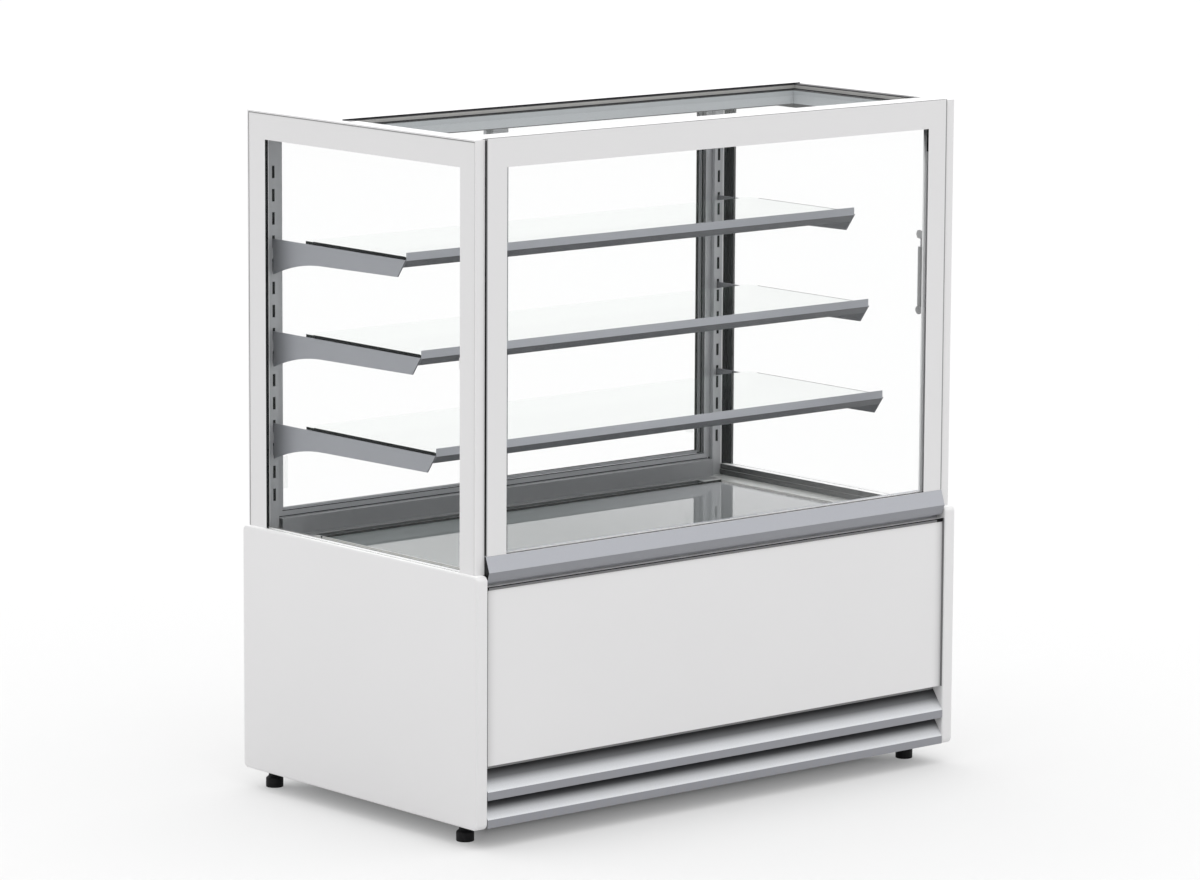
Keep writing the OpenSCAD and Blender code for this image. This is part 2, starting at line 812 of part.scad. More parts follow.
// Frame of one sliding door, drawn for the left and mirrored for the right
module door_leaf_frame(y) {
    x1 = door_overlap / 2;
    difference() {
        slab(door_end_x, x1, y, y + door_t, door_z0, door_z1);
        slab(door_pane_x, x1 - door_stile_w, y - over, y + door_t + over,
            door_z0 + door_rail_w, door_z1 - door_rail_w);
        slab(door_pane_x - pane_bite, x1 - door_stile_w + pane_bite,
            y + (door_t - door_pane_t) / 2 - fit_gap, y + (door_t + door_pane_t) / 2 + fit_gap,
            door_z0 + door_rail_w - pane_bite, door_z1 - door_rail_w + pane_bite);
    }
}

pane_bite = 8;

module door_leaf_glass(y) {
    slab(door_pane_x - pane_bite + fit_gap,
        door_overlap / 2 - door_stile_w + pane_bite - fit_gap,
        y + (door_t - door_pane_t) / 2, y + (door_t + door_pane_t) / 2,
        door_z0 + door_rail_w - pane_bite + fit_gap,
        door_z1 - door_rail_w + pane_bite - fit_gap);
}

pull_side_gap = 2;
pull_x = door_pane_x + pull_side_gap;
pull_z = door_open_z0 + pull_up;
pull_cup_w_share = 0.5;
pull_cup_h_share = 0.7;
pull_top_share = 0.75;

module left_door_frame() {
    color(steel) door_leaf_frame(door_y(-1));
}

module left_door_glass() {
    color(clear) door_leaf_glass(door_y(-1));
}

// A flat finger plate with a recess, thin enough for the outer door to pass
module left_door_pull() {
    y0 = door_pane_rear(-1);
    cup_w = pull_w * pull_cup_w_share;
    cup_h = pull_h * pull_cup_h_share;
    color(dark_steel) difference() {
        slab(pull_x, pull_x + pull_w, y0, y0 + pull_flat, pull_z, pull_z + pull_h);
        slab(pull_x + (pull_w - cup_w) / 2, pull_x + (pull_w + cup_w) / 2, y0 + pull_flat / 2,
            y0 + pull_flat + over, pull_z + (pull_h - cup_h) / 2, pull_z + (pull_h + cup_h) / 2);
    }
}

module right_door_frame() {
    color(steel) mirrored() door_leaf_frame(door_y(1));
}

module right_door_glass() {
    color(clear) mirrored() door_leaf_glass(door_y(1));
}

// A wedge grip with a sloping top, standing out from the outer door
module right_door_pull() {
    y0 = door_pane_rear(1);
    color(dark_steel) mirrored() side_plate(pull_x, pull_w)
        polygon([[y0, pull_z], [y0 + pull_out, pull_z], [y0 + pull_out, pull_z + pull_h * pull_top_share],
            [y0, pull_z + pull_h]]);
}

// Side frames
pin_in = 10;
pin_out = 14;
lug_h = 24;
lug_t = 12;
lug_past = 10;

module side_frame() {
    body_x = frame_body_x + fit_gap;
    low_z = case_h - frame_top_h;
    color(white) difference() {
        union() {
            slab(body_x, frame_in_x, frame_y0, frame_y0 + frame_front_w, base_top, low_z);
            slab(body_x, frame_in_x, frame_y1 - frame_rear_w, frame_y1, base_top, low_z);
            slab(body_x, frame_in_x, frame_y0, frame_y1, low_z, case_h);
            slab(frame_out_x, body_x, frame_y0, frame_y0 + frame_lip, base_top, case_h);
            slab(frame_out_x, body_x, frame_y1 - frame_lip, frame_y1, base_top, case_h);
            slab(frame_out_x, body_x, frame_y0 + frame_lip, frame_y1 - frame_lip,
                case_h - frame_lip, case_h);
            slab(frame_in_x - lug_t, frame_in_x, frame_y0 + frame_front_w, strut_y + lug_past,
                strut_z0 - lug_h / 2, strut_z0 + lug_h / 2);
        }
        rod_x(frame_in_x - pin_in, frame_in_x + over, hinge_y, hinge_z,
            hinge_pin_d + 2 * run_gap);
        rod_x(frame_in_x - pin_in, frame_in_x + over, strut_y, strut_z0,
            strut_stud_d + 2 * run_gap);
    }
}

module left_side_frame() {
    side_frame();
}

module right_side_frame() {
    mirrored() side_frame();
}

module side_glass() {
    color(clear) slab(pane_x, frame_body_x, pane_y0, pane_y1, base_top, pane_z1);
}

module left_side_glass() {
    side_glass();
}

module right_side_glass() {
    mirrored() side_glass();
}

// Roof
module front_top_rail() {
    color(white) difference() {
        centred_slab(frame_in_x, top_rail_y0, top_rail_y1, case_h - top_rail_h, case_h);
        centred_slab(frame_in_x + roof_wall, top_rail_y0 + roof_wall, top_rail_y1 - roof_wall,
            case_h - top_rail_h - over, case_h - roof_wall);
    }
}

module pivot_pins() {
    color(steel) both_sides() {
        rod_x(frame_in_x - pin_in, sash_x + pin_out, hinge_y, hinge_z, hinge_pin_d);
        rod_x(frame_in_x - pin_in, strut_x + strut_eye_t / 2, strut_y, strut_z0, strut_stud_d);
    }
}

module roof_frame() {
    y0 = top_rail_y1 + fit_gap;
    y1 = cover_y0 - fit_gap;
    in_x = roof_open_x + roof_ledge;
    collar_x = in_x - roof_wall;
    color(steel) difference() {
        union() {
            centred_slab(frame_in_x, y0, y1, case_h - roof_ledge_drop - roof_wall, case_h);
            centred_slab(collar_x, y0, y1, roof_z0, case_h - roof_ledge_drop - roof_wall);
        }
        centred_slab(roof_open_x, y0 + roof_wall, y1 - roof_wall,
            case_h - roof_ledge_drop, case_h + over);
        centred_slab(in_x, y0 + roof_ledge, y1 - roof_ledge, roof_z0 - over, case_h + over);
    }
}

module roof_glass() {
    y0 = top_rail_y1 + fit_gap + roof_wall + fit_gap;
    y1 = cover_y0 - fit_gap - roof_wall - fit_gap;
    color(clear) centred_slab(roof_open_x + fit_gap, y0, y1, roof_glass_z,
        roof_glass_z + roof_pane_t);
}

module top_cover() {
    color(white) difference() {
        centred_slab(frame_in_x, cover_y0, frame_y1, roof_z0, case_h);
        centred_slab(frame_in_x + roof_wall, cover_y0 + roof_wall, frame_y1 - roof_wall,
            roof_z0 + roof_wall, case_h - roof_wall);
    }
}

lamp_h = 12;
lamp_d = 24;

module display_lamp() {
    y0 = (top_rail_y0 + top_rail_y1 - lamp_d) / 2;
    z1 = case_h - roof_wall;
    color(foam_grey) centred_slab(frame_in_x + sash_stile_w, y0, y0 + lamp_d, z1 - lamp_h, z1);
}

// Front sash
stay_x = strut_x + strut_eye_t / 2 + fit_gap;

module front_sash() {
    z0 = glass_z0;
    z1 = case_h;
    y0 = glass_back_y;
    y1 = sash_back_y;
    color(dark_steel) {
        difference() {
            centred_slab(sash_x, y0, y1, z0, z1);
            centred_slab(sash_x + sash_stile_w, y0 - over, y1 + over, z0 - over, z1 - sash_top_h);
            both_sides() rod_x(sash_x - over, sash_x + pin_out + fit_gap, hinge_y, hinge_z,
                hinge_pin_d + 2 * run_gap);
        }
        both_sides() {
            slab(stay_x, stay_x + stay_t, y1, strut_y + strut_stud_d,
                strut_z1 - stay_h / 2, strut_z1 + stay_h / 2);
        }
    }
}

module front_glass() {
    color(clear) centred_slab(glass_x, glass_y, glass_back_y, glass_z0, glass_z1);
}

module eye(z) {
    rod_x(strut_x - strut_eye_t / 2, strut_x + strut_eye_t / 2, strut_y, z, strut_eye_d);
}

module strut_tube() {
    z0 = strut_z0 + strut_eye_d / 2 * eye_share;
    z1 = strut_z0 + strut_len * tube_end_share;
    color(dark_steel) difference() {
        union() {
            eye(strut_z0);
            translate([strut_x, strut_y, z0]) cylinder(h = z1 - z0, d = strut_tube_d);
        }
        rod_x(strut_x - strut_eye_t, strut_x + strut_eye_t, strut_y, strut_z0,
            strut_stud_d + 2 * run_gap);
        translate([strut_x, strut_y, z0 + strut_eye_d / 2])
            cylinder(h = z1 - z0, d = strut_rod_d + 2 * run_gap);
    }
}

module strut_rod() {
    z0 = strut_z0 + strut_eye_d;
    z1 = strut_z1 - strut_eye_d / 2 * eye_share;
    color(steel) {
        translate([strut_x, strut_y, z0]) cylinder(h = z1 - z0, d = strut_rod_d);
        eye(strut_z1);
    }
}

module left_strut_tube() {
    strut_tube();
}

module left_strut_rod() {
    strut_rod();
}

module right_strut_tube() {
    mirrored() strut_tube();
}

module right_strut_rod() {
    mirrored() strut_rod();
}

// Shelves
// Bracket outline: straight top, sloping tip, scalloped underside down to the post
module bracket_outline(i) {
    y_tip = shelf_tip_y(i);
    z1 = shelf_z(i);
    waist_y = post_y - bracket_waist_y;
    drop = bracket_rear_h - bracket_waist_h;
    run = bracket_waist_y;
    r = (run * run + drop * drop) / (2 * drop);
    difference() {
        polygon([[y_tip, z1], [post_y, z1], [post_y, z1 - bracket_rear_h],
            [waist_y, z1 - bracket_rear_h], [waist_y, z1 - bracket_waist_h],
            [y_tip + bracket_tip_back, z1 - bracket_tip_h]]);
        intersection() {
            translate([waist_y, z1 - bracket_waist_h - r]) circle(r, $fn = 180);
            translate([waist_y - over, z1 - bracket_rear_h - over])
                square([run + over, bracket_rear_h + over]);
        }
    }
}

// The neck rests on the slot's lower edge and the tooth drops behind the post's wall
module bracket_hook(z) {
    z0 = z - slot_h / 2 + fit_gap;
    h = slot_h / 2 + slot_h * hook_top_share - fit_gap;
    tooth_y = post_y + post_wall + fit_gap;
    translate([post_y, z0]) square([hook_in, h]);
    translate([tooth_y, z0 - hook_drop]) square([post_y + hook_in - tooth_y, h + hook_drop]);
}

module shelf_bracket(i) {
    side_plate(bracket_x0, bracket_t) {
        bracket_outline(i);
        for (k = [0, 1]) bracket_hook(slot_z(shelf_slot(i) + k));
    }
    slab(bracket_x0 + bracket_t, bracket_x0 + bracket_flange_w,
        shelf_tip_y(i) + bracket_tip_back, post_y - shelf_rear_gap,
        shelf_z(i) - bracket_t / 2, shelf_z(i));
}

module shelf_brackets() {
    color(steel) both_sides() for (i = [0 : shelf_count - 1]) shelf_bracket(i);
}

module shelf_glass(i) {
    color(clear) centred_slab(shelf_glass_x, shelf_tip_y(i) + rail_t + shelf_nose_gap,
        post_y - shelf_rear_gap, shelf_z(i), shelf_z(i) + shelf_glass_t);
}

module upper_shelf_glass() {
    shelf_glass(0);
}

module middle_shelf_glass() {
    shelf_glass(1);
}

module lower_shelf_glass() {
    shelf_glass(2);
}

// Angle rail: upright lip ahead of the glass and a light channel along the bracket's slope
module rail_section(i) {
    y0 = shelf_tip_y(i);
    z0 = shelf_z(i) - rail_low;
    y2 = y0 + bracket_tip_back * rail_slope_share;
    z2 = z0 - bracket_tip_h * rail_slope_share;
    polygon([[y0, z0 + rail_h], [y0, z0], [y2, z2], [y2 + 2 * rail_t, z2],
        [y2 + 2 * rail_t, z2 + rail_t], [y0 + rail_t, z0 - rail_t / 2],
        [y0 + rail_t, z0 + rail_h]]);
}

module shelf_rails() {
    x0 = bracket_x0 + bracket_t + fit_gap;
    color(steel) for (i = [0 : shelf_count - 1]) side_plate(x0, -2 * x0) rail_section(i);
}

// Machinery
comp_foot_share = 0.09;
comp_body_share = 0.66;
comp_dome_share = 0.25;
comp_base_share = 1.05;
comp_pad_share = 0.14;
comp_pad_place_share = 0.42;
comp_port_share = 0.3;
pipe_port = 16;
comp_base_z = chassis_z + sheet_t + comp_h * comp_foot_share;
comp_dome_z = comp_base_z + comp_h * comp_body_share;
comp_top_z = comp_dome_z + comp_h * comp_dome_share;
port_d = pipe_d + 2 * drain_wall;

module compressor() {
    base_w = comp_d * comp_base_share;
    port = comp_d * comp_port_share;
    color(black) translate([comp_x, comp_y, 0]) {
        for (x = [-1, 1], y = [-1, 1])
            translate([x * base_w, y * base_w, 0] * comp_pad_place_share
                + [0, 0, chassis_z + sheet_t])
                cylinder(h = comp_h * comp_foot_share, d = comp_d * comp_pad_share);
        translate([-base_w / 2, -base_w / 2, comp_base_z]) cube([base_w, base_w, 2 * sheet_t]);
        translate([0, 0, comp_base_z]) cylinder(h = comp_h * comp_body_share, d = comp_d);
        translate([0, 0, comp_dome_z - comp_d / 2 + comp_h * comp_dome_share]) intersection() {
            sphere(d = comp_d, $fn = 96);
            translate([0, 0, comp_d / 2 - comp_h * comp_dome_share])
                cylinder(h = comp_h * comp_dome_share, d = comp_d);
        }
        for (x = [-port, port]) translate([x, 0, comp_dome_z])
            cylinder(h = comp_top_z - comp_dome_z, d = port_d);
    }
}

shroud_d = 34;
fin_t = 2;
cond_fins = 24;
cond_rows = 6;
tube_shares = [0.25, 0.72];
cond_z0 = chassis_z + sheet_t;
function cond_row_z(k) = cond_z0 + cond_h * (k - 1 / 2) / cond_rows;

module condenser() {
    x0 = cond_x - cond_w / 2;
    x1 = cond_x + cond_w / 2;
    y1 = cond_y + cond_d;
    z1 = cond_z0 + cond_h;
    fin_pitch = (cond_w - 2 * sheet_t - fin_t) / (cond_fins - 1);
    color(foam_grey) {
        for (i = [0 : cond_fins - 1])
            translate([x0 + sheet_t + i * fin_pitch, cond_y, cond_z0]) cube([fin_t, cond_d, cond_h]);
        for (k = [1 : cond_rows], y = tube_shares)
            rod_x(x0, x1, cond_y + cond_d * y, cond_row_z(k), pipe_d);
        difference() {
            slab(x0, x1, y1 - sheet_t, y1 + shroud_d, cond_z0, z1);
            slab(x0 + sheet_t, x1 - sheet_t, y1 - sheet_t - over, y1 + shroud_d - sheet_t,
                cond_z0 + sheet_t, z1 - sheet_t);
            rod_y(y1, y1 + shroud_d + over, cond_x, cond_z0 + cond_h / 2,
                cond_fan_d + fan_tip_gap);
        }
    }
}

fan_tip_gap = 8;
fan_shaft_d = 8;
fan_hub_share = 0.28;
fan_blade_share = 0.12;
fan_chord_share = 1.9;
fan_pitch_deg = 28;
fan_count = 5;
motor_share = 0.4;
motor_len = 60;
guard_bar_w = 10;
guard_share = 1.16;
small_motor_len = 36;

// Blades and hub turning about the Y axis, pitched like a propeller
module fan(x, y, z, d, depth) {
    hub = d * fan_hub_share;
    chord = depth * fan_chord_share;
    t = depth * fan_blade_share;
    translate([x, y, z]) rotate([-90, 0, 0]) difference() {
        union() {
            cylinder(h = depth, d = hub);
            for (i = [0 : fan_count - 1]) rotate([0, 0, i * 360 / fan_count])
                translate([0, 0, depth / 2]) rotate([fan_pitch_deg, 0, 0])
                translate([hub / 4, -chord / 2, -t / 2])
                cube([d / 2 - hub / 4 - chord / 8, chord, t]);
        }
        translate([0, 0, -over])
            cylinder(h = depth + 2 * over, d = fan_shaft_d + 2 * run_gap);
    }
}

cond_fan_depth = 18;
cond_fan_back = 12;
cond_fan_y = cond_y + cond_d + cond_fan_back;
cond_fan_z = cond_z0 + cond_h / 2;

module condenser_fan_blades() {
    color(black) fan(cond_x, cond_fan_y, cond_fan_z, cond_fan_d, cond_fan_depth);
}

module condenser_fan_motor() {
    y0 = cond_fan_y + cond_fan_depth + 2 * over;
    motor_d = cond_fan_d * motor_share;
    guard_y = cond_y + cond_d + shroud_d;
    color(dark_steel) {
        rod_y(cond_fan_y, y0 + over, cond_x, cond_fan_z, fan_shaft_d);
        rod_y(y0, y0 + motor_len, cond_x, cond_fan_z, motor_d);
        difference() {
            for (a = [45, 135]) translate([cond_x, guard_y + sheet_t, cond_fan_z])
                rotate([0, a, 0]) cube([cond_fan_d * guard_share, 2 * sheet_t, guard_bar_w],
                    center = true);
            rod_y(guard_y - over, guard_y + 2 * sheet_t + over, cond_x, cond_fan_z,
                motor_d - over);
        }
    }
}

evap_z = well_floor_z;
evap_fan_share = 0.27;
evap_fan_x = evap_w * evap_fan_share;
evap_shroud_d = 34;
evap_fan_back = 8;
evap_guard_y = evap_y0 - evap_shroud_d;
evap_fan_y = evap_guard_y + evap_fan_back;
evap_fan_z = evap_z + evap_h / 2;
evap_fan_depth = 14;
evap_fins = 30;
evap_tube_shares = [0.2, 0.5, 0.8];

module evaporator() {
    fin_pitch = (evap_w - fin_t) / (evap_fins - 1);
    z1 = evap_z + evap_h;
    color(foam_grey) {
        for (i = [0 : evap_fins - 1])
            translate([-evap_w / 2 + i * fin_pitch, evap_y0, evap_z])
                cube([fin_t, evap_d, evap_h]);
        for (y = tube_shares, z = evap_tube_shares)
            rod_x(-evap_w / 2, evap_w / 2, evap_y0 + evap_d * y, evap_z + evap_h * z, pipe_d);
        difference() {
            slab(-evap_w / 2, evap_w / 2, evap_guard_y, evap_y0, evap_z, z1);
            slab(-evap_w / 2 + sheet_t, evap_w / 2 - sheet_t, evap_guard_y + sheet_t,
                evap_y0 + over, evap_z + sheet_t, z1 - sheet_t);
            for (x = [-evap_fan_x, evap_fan_x])
                rod_y(evap_guard_y - over, evap_guard_y + sheet_t + over, x, evap_fan_z,
                    evap_fan_d);
        }
    }
}

module evaporator_fan(x) {
    color(black) fan(x, evap_fan_y, evap_fan_z, evap_fan_d - fan_tip_gap, evap_fan_depth);
}

module left_evaporator_fan() {
    evaporator_fan(-evap_fan_x);
}

module right_evaporator_fan() {
    evaporator_fan(evap_fan_x);
}

module evaporator_fan_motors() {
    motor_d = evap_fan_d * motor_share;
    y1 = evap_guard_y - sheet_t;
    color(dark_steel) for (x = [-evap_fan_x, evap_fan_x]) {
        rod_y(y1 - small_motor_len, y1, x, evap_fan_z, motor_d);
        rod_y(y1 - over, evap_fan_y + evap_fan_depth, x, evap_fan_z, fan_shaft_d);
        translate([x - evap_fan_d * guard_share / 2, y1 - sheet_t, evap_fan_z - guard_bar_w / 2])
            cube([evap_fan_d * guard_share, 2 * sheet_t, guard_bar_w]);
    }
}

drier_share = 3;

// Copper lines: compressor to condenser, condenser to the well through a drier, and back
module refrigerant_pipes() {
    hot_y = cond_y + cond_d * tube_shares[1];
    cool_y = cond_y + cond_d * tube_shares[0];
    x_cond = cond_x + cond_w / 2;
    x_hot = comp_x - comp_d * comp_port_share;
    x_back = comp_x + comp_d * comp_port_share;
    z_hot = cond_row_z(cond_rows);
    z_cool = cond_row_z(1);
    drier_d = pipe_d * drier_share;
    x_up = x_cond + 2 * drier_d;
    half = pipe_d / 2;
    color(copper) {
        translate([x_hot, comp_y, comp_top_z]) cylinder(h = z_hot - comp_top_z + half, d = pipe_d);
        rod_y(hot_y - half, comp_y + half, x_hot, z_hot, pipe_d);
        rod_x(x_cond, x_hot + half, hot_y, z_hot, pipe_d);
        rod_x(x_cond, x_up + half, cool_y, z_cool, pipe_d);
        translate([x_up, cool_y, z_cool - half]) cylinder(h = well_z0 - z_cool + half, d = pipe_d);
        translate([x_up, cool_y, z_cool + drier_d])
            cylinder(h = cond_h / drier_share, d = drier_d);
        translate([x_back, comp_y, comp_top_z]) cylinder(h = well_z0 - comp_top_z, d = pipe_d);
    }
}

tray_wall = 2;
tray_lip = 8;
tray_lip_shares = [0.3, 0.7];

module drain_tray() {
    z0 = chassis_z + sheet_t + fit_gap;
    z1 = chassis_z + sheet_t + tray_h - tray_wall;
    x0 = tray_x - tray_w / 2;
    y0 = tray_y1 - tray_d;
    y1 = service_y + sheet_t;
    color(black) {
        difference() {
            slab(x0, x0 + tray_w, y0, y1, z0, z1);
            slab(x0 + tray_wall, x0 + tray_w - tray_wall, y0 + tray_wall, y1 - tray_wall,
                z0 + tray_wall, z1 + over);
        }
        slab(x0 + tray_w * tray_lip_shares[0], x0 + tray_w * tray_lip_shares[1], y1,
            y1 + tray_lip, z1 - 2 * tray_wall, z1);
    }
}

gland_share = 0.40;
gland_x = case_w * gland_share;
gland_up = 40;
gland_z = service_z0 + gland_up;
gland_head_share = 1.3;
gland_head_l_share = 0.45;
gland_body_share = 0.6;
gland_bore_share = 0.5;

module power_gland() {
    y0 = service_y - gland_d * gland_body_share;
    y1 = service_y + sheet_t;
    y2 = y1 + gland_d * gland_head_l_share;
    color(black) difference() {
        union() {
            rod_y(y0, y1, gland_x, gland_z, gland_d);
            rod_y(y1, y2, gland_x, gland_z, gland_d * gland_head_share);
        }
        rod_y(y0 - over, y2 + over, gland_x, gland_z, gland_d * gland_bore_share);
    }
}

// Feet
foot_neck_share = 0.72;
foot_dome_share = 0.5;

module foot() {
    neck_z = foot_pad_h * foot_neck_share;
    color(black) {
        cylinder(h = neck_z, d = foot_pad_d);
        translate([0, 0, neck_z]) cylinder(h = foot_pad_h - neck_z,
            d1 = foot_pad_d, d2 = foot_pad_d * foot_dome_share);
    }
    color(steel) translate([0, 0, foot_pad_h]) cylinder(h = foot_screw_l, d = foot_screw_d);
}

module foot_at(side, y) {
    translate([side * (case_w / 2 - foot_side), y, 0]) foot();
}

module front_left_foot() {
    foot_at(-1, front_y + foot_front);
}

module front_right_foot() {
    foot_at(1, front_y + foot_front);
}

module rear_left_foot() {
    foot_at(-1, rear_y - foot_rear);
}

module rear_right_foot() {
    foot_at(1, rear_y - foot_rear);
}

left_base_panel();
right_base_panel();
chassis_tray();
front_panel();
front_sill();
louvre_blades();
rear_service_panel();
control_panel();
temperature_display();
main_switch();
light_switch();
cold_well();
deck_ledge();
deck_trim();
deck_plate();
rear_upstand();
slotted_posts();
rear_door_frame();
left_door_frame();
left_door_glass();
left_door_pull();
right_door_frame();
right_door_glass();
right_door_pull();
left_side_frame();
right_side_frame();
left_side_glass();
right_side_glass();
front_top_rail();
pivot_pins();
roof_frame();
roof_glass();
top_cover();
display_lamp();
front_sash();
front_glass();
left_strut_tube();
left_strut_rod();
right_strut_tube();
right_strut_rod();
shelf_brackets();
upper_shelf_glass();
middle_shelf_glass();
lower_shelf_glass();
shelf_rails();
compressor();
condenser();
condenser_fan_motor();
condenser_fan_blades();
evaporator();
evaporator_fan_motors();
left_evaporator_fan();
right_evaporator_fan();
refrigerant_pipes();
drain_tray();
power_gland();
front_left_foot();
front_right_foot();
rear_left_foot();
rear_right_foot();
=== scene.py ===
"""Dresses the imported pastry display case: finishes, rounded panels, seals, trims and screws."""

import json
import math

import bmesh
import bpy
from bpy.props import FloatProperty, FloatVectorProperty, PointerProperty
from mathutils import Matrix, Vector


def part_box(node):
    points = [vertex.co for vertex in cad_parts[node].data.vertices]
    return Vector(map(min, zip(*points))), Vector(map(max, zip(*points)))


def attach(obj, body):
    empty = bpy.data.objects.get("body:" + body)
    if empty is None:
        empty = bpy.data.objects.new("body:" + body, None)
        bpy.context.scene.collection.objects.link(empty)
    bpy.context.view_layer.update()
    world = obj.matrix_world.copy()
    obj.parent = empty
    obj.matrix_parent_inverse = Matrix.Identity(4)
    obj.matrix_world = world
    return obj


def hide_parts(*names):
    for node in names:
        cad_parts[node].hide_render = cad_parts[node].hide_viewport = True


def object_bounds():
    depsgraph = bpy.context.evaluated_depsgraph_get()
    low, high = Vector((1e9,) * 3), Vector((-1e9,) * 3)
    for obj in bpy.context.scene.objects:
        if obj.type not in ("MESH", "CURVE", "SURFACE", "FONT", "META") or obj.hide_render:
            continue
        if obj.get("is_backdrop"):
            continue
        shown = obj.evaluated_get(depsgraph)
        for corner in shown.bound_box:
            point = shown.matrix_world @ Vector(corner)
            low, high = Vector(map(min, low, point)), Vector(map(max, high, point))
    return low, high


bl_info = {
    "name": "Pastry Display Case",
    "version": (1, 0, 0),
    "blender": (4, 5, 0),
    "location": "View3D > Sidebar > Display Case",
    "description": "Finishes and fittings of a refrigerated pastry display case",
    "category": "Object",
}

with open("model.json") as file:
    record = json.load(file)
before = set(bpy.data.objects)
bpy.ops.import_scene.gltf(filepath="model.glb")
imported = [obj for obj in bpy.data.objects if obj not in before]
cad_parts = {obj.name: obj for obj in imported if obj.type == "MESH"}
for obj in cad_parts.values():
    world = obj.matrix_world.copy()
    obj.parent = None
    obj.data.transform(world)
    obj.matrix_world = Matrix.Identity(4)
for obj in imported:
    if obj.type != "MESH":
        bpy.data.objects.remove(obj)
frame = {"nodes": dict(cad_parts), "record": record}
MM = 0.001
CLEAR = 0.012  # what a clear pane still hides
BEDDING = (0.40, 0.395, 0.385)  # grey that the roof glass is bedded in


def length(name, description, default):
    """A property for a length"""
    return FloatProperty(name=name, description=description, default=default, subtype="DISTANCE", unit="LENGTH")


def tint(name, description, default):
    """A property for a colour"""
    return FloatVectorProperty(
        name=name, description=description, default=default, subtype="COLOR", size=3, min=0, max=1
    )


class CaseSizes(bpy.types.PropertyGroup):
    """Sizes of the dressed pieces"""

    edge_radius: length("Edge radius", "Rounding along the edges of the base side panels", 4 * MM)
    corner_radius: length("Corner radius", "Corners of the base side panels seen from the side", 13 * MM)
    front_border: length("Front border", "Width of the printed border at the front pane's sides", 54 * MM)
    front_border_top: length("Front top border", "Height of the front pane's printed border", 61.5 * MM)
    side_border_front: length("Side border, front", "Printed border at a side pane's front", 48.4 * MM)
    side_border_rear: length("Side border, rear", "Printed border at a side pane's rear", 57.2 * MM)
    side_border_top: length("Side border, top", "Printed border along a side pane's top", 56 * MM)
    pane_gasket: length("Pane gasket", "Height of the seal under the side frames' top lip", 1.8 * MM)
    post_seal: length("Post seal", "Width of the seal between a side pane and its post", 14.0 * MM)
    roof_bead: length("Roof bead", "Height of the bead between the roof and the rear cover", 2.2 * MM)
    door_sill: length("Door sill", "Height of the rear doorway's sill", 608 * MM)
    door_head: length("Door head", "Height of the rear doorway's head", 1408.2 * MM)
    door_jamb: length("Door jamb", "Distance of the rear doorway's jambs from the middle", 609 * MM)
    foot_radius: length("Foot radius", "Radius of a foot's pad", 19.0 * MM)
    cap_radius: length("Strut cap", "Radius of the caps on the struts' studs", 9.6 * MM)
    screw_radius: length("Screw head", "Radius of the panel screws' heads", 4.0 * MM)


class CaseColours(bpy.types.PropertyGroup):
    """Colours of the case's finishes"""

    white: tint("White", "Painted panels and printed borders", (0.80, 0.795, 0.80))
    shelf: tint("Shelf grey", "Shelf brackets and rails", (0.385, 0.397, 0.43))
    post: tint("Post grey", "Rear posts and door jambs", (0.385, 0.391, 0.407))
    upstand: tint("Upstand grey", "Upstand behind the deck", (0.285, 0.29, 0.303))
    door: tint("Door grey", "Rear doors and their sill", (0.40, 0.407, 0.425))
    metal: tint("Satin metal", "Front sill", (0.415, 0.424, 0.457))
    lip: tint("Lip metal", "Front lips of the louvre blades", (0.29, 0.295, 0.32))
    deck: tint("Deck metal", "Deck ledge and trim", (0.56, 0.57, 0.56))
    plate: tint("Deck plate", "Polished plate of the deck", (0.37, 0.382, 0.395))
    roof: tint("Roof grey", "Collar of the glass roof", (0.42, 0.445, 0.465))
    glass: tint("Glass", "Body colour of the panes", (0.86, 0.94, 0.91))
    dark: tint("Dark", "Backs of the printed borders and the sash", (0.030, 0.030, 0.033))
    black: tint("Black", "Feet, seals and mouldings", (0.010, 0.010, 0.011))


class StageSettings(bpy.types.PropertyGroup):
    """Camera and light of the stage"""

    lens: FloatProperty(name="Lens", description="Focal length in millimetres", default=167.586, min=10)
    camera: FloatVectorProperty(
        name="Camera", description="Place of the camera", default=(-7.823, -9.129, 2.716),
        subtype="TRANSLATION", unit="LENGTH",
    )
    yaw: FloatProperty(name="Yaw", description="Turn of the view to the right", default=0.7078957,
                       subtype="ANGLE")
    pitch: FloatProperty(name="Pitch", description="Tilt of the view downwards", default=0.1625254,
                         subtype="ANGLE")
    roll: FloatProperty(name="Roll", description="Roll of the view", default=0.0054128, subtype="ANGLE")
    dome: FloatProperty(name="Dome", description="Strength of the soft light all round", default=0.53, min=0)
    key: FloatProperty(name="Key", description="Strength of the lamp overhead", default=2.42, min=0)
    fill: FloatProperty(name="Fill", description="Strength of the lamp at the front", default=0.06, min=0)
    floor: FloatProperty(name="Floor", description="Lightness of the floor as it is seen", default=0.55, min=0)
    glow: FloatProperty(name="Glow", description="Light the open floor adds to its own", default=0.29, min=0)
    bounce: FloatProperty(name="Bounce", description="Lightness of the floor for bounced light",
                          default=0.70, min=0)


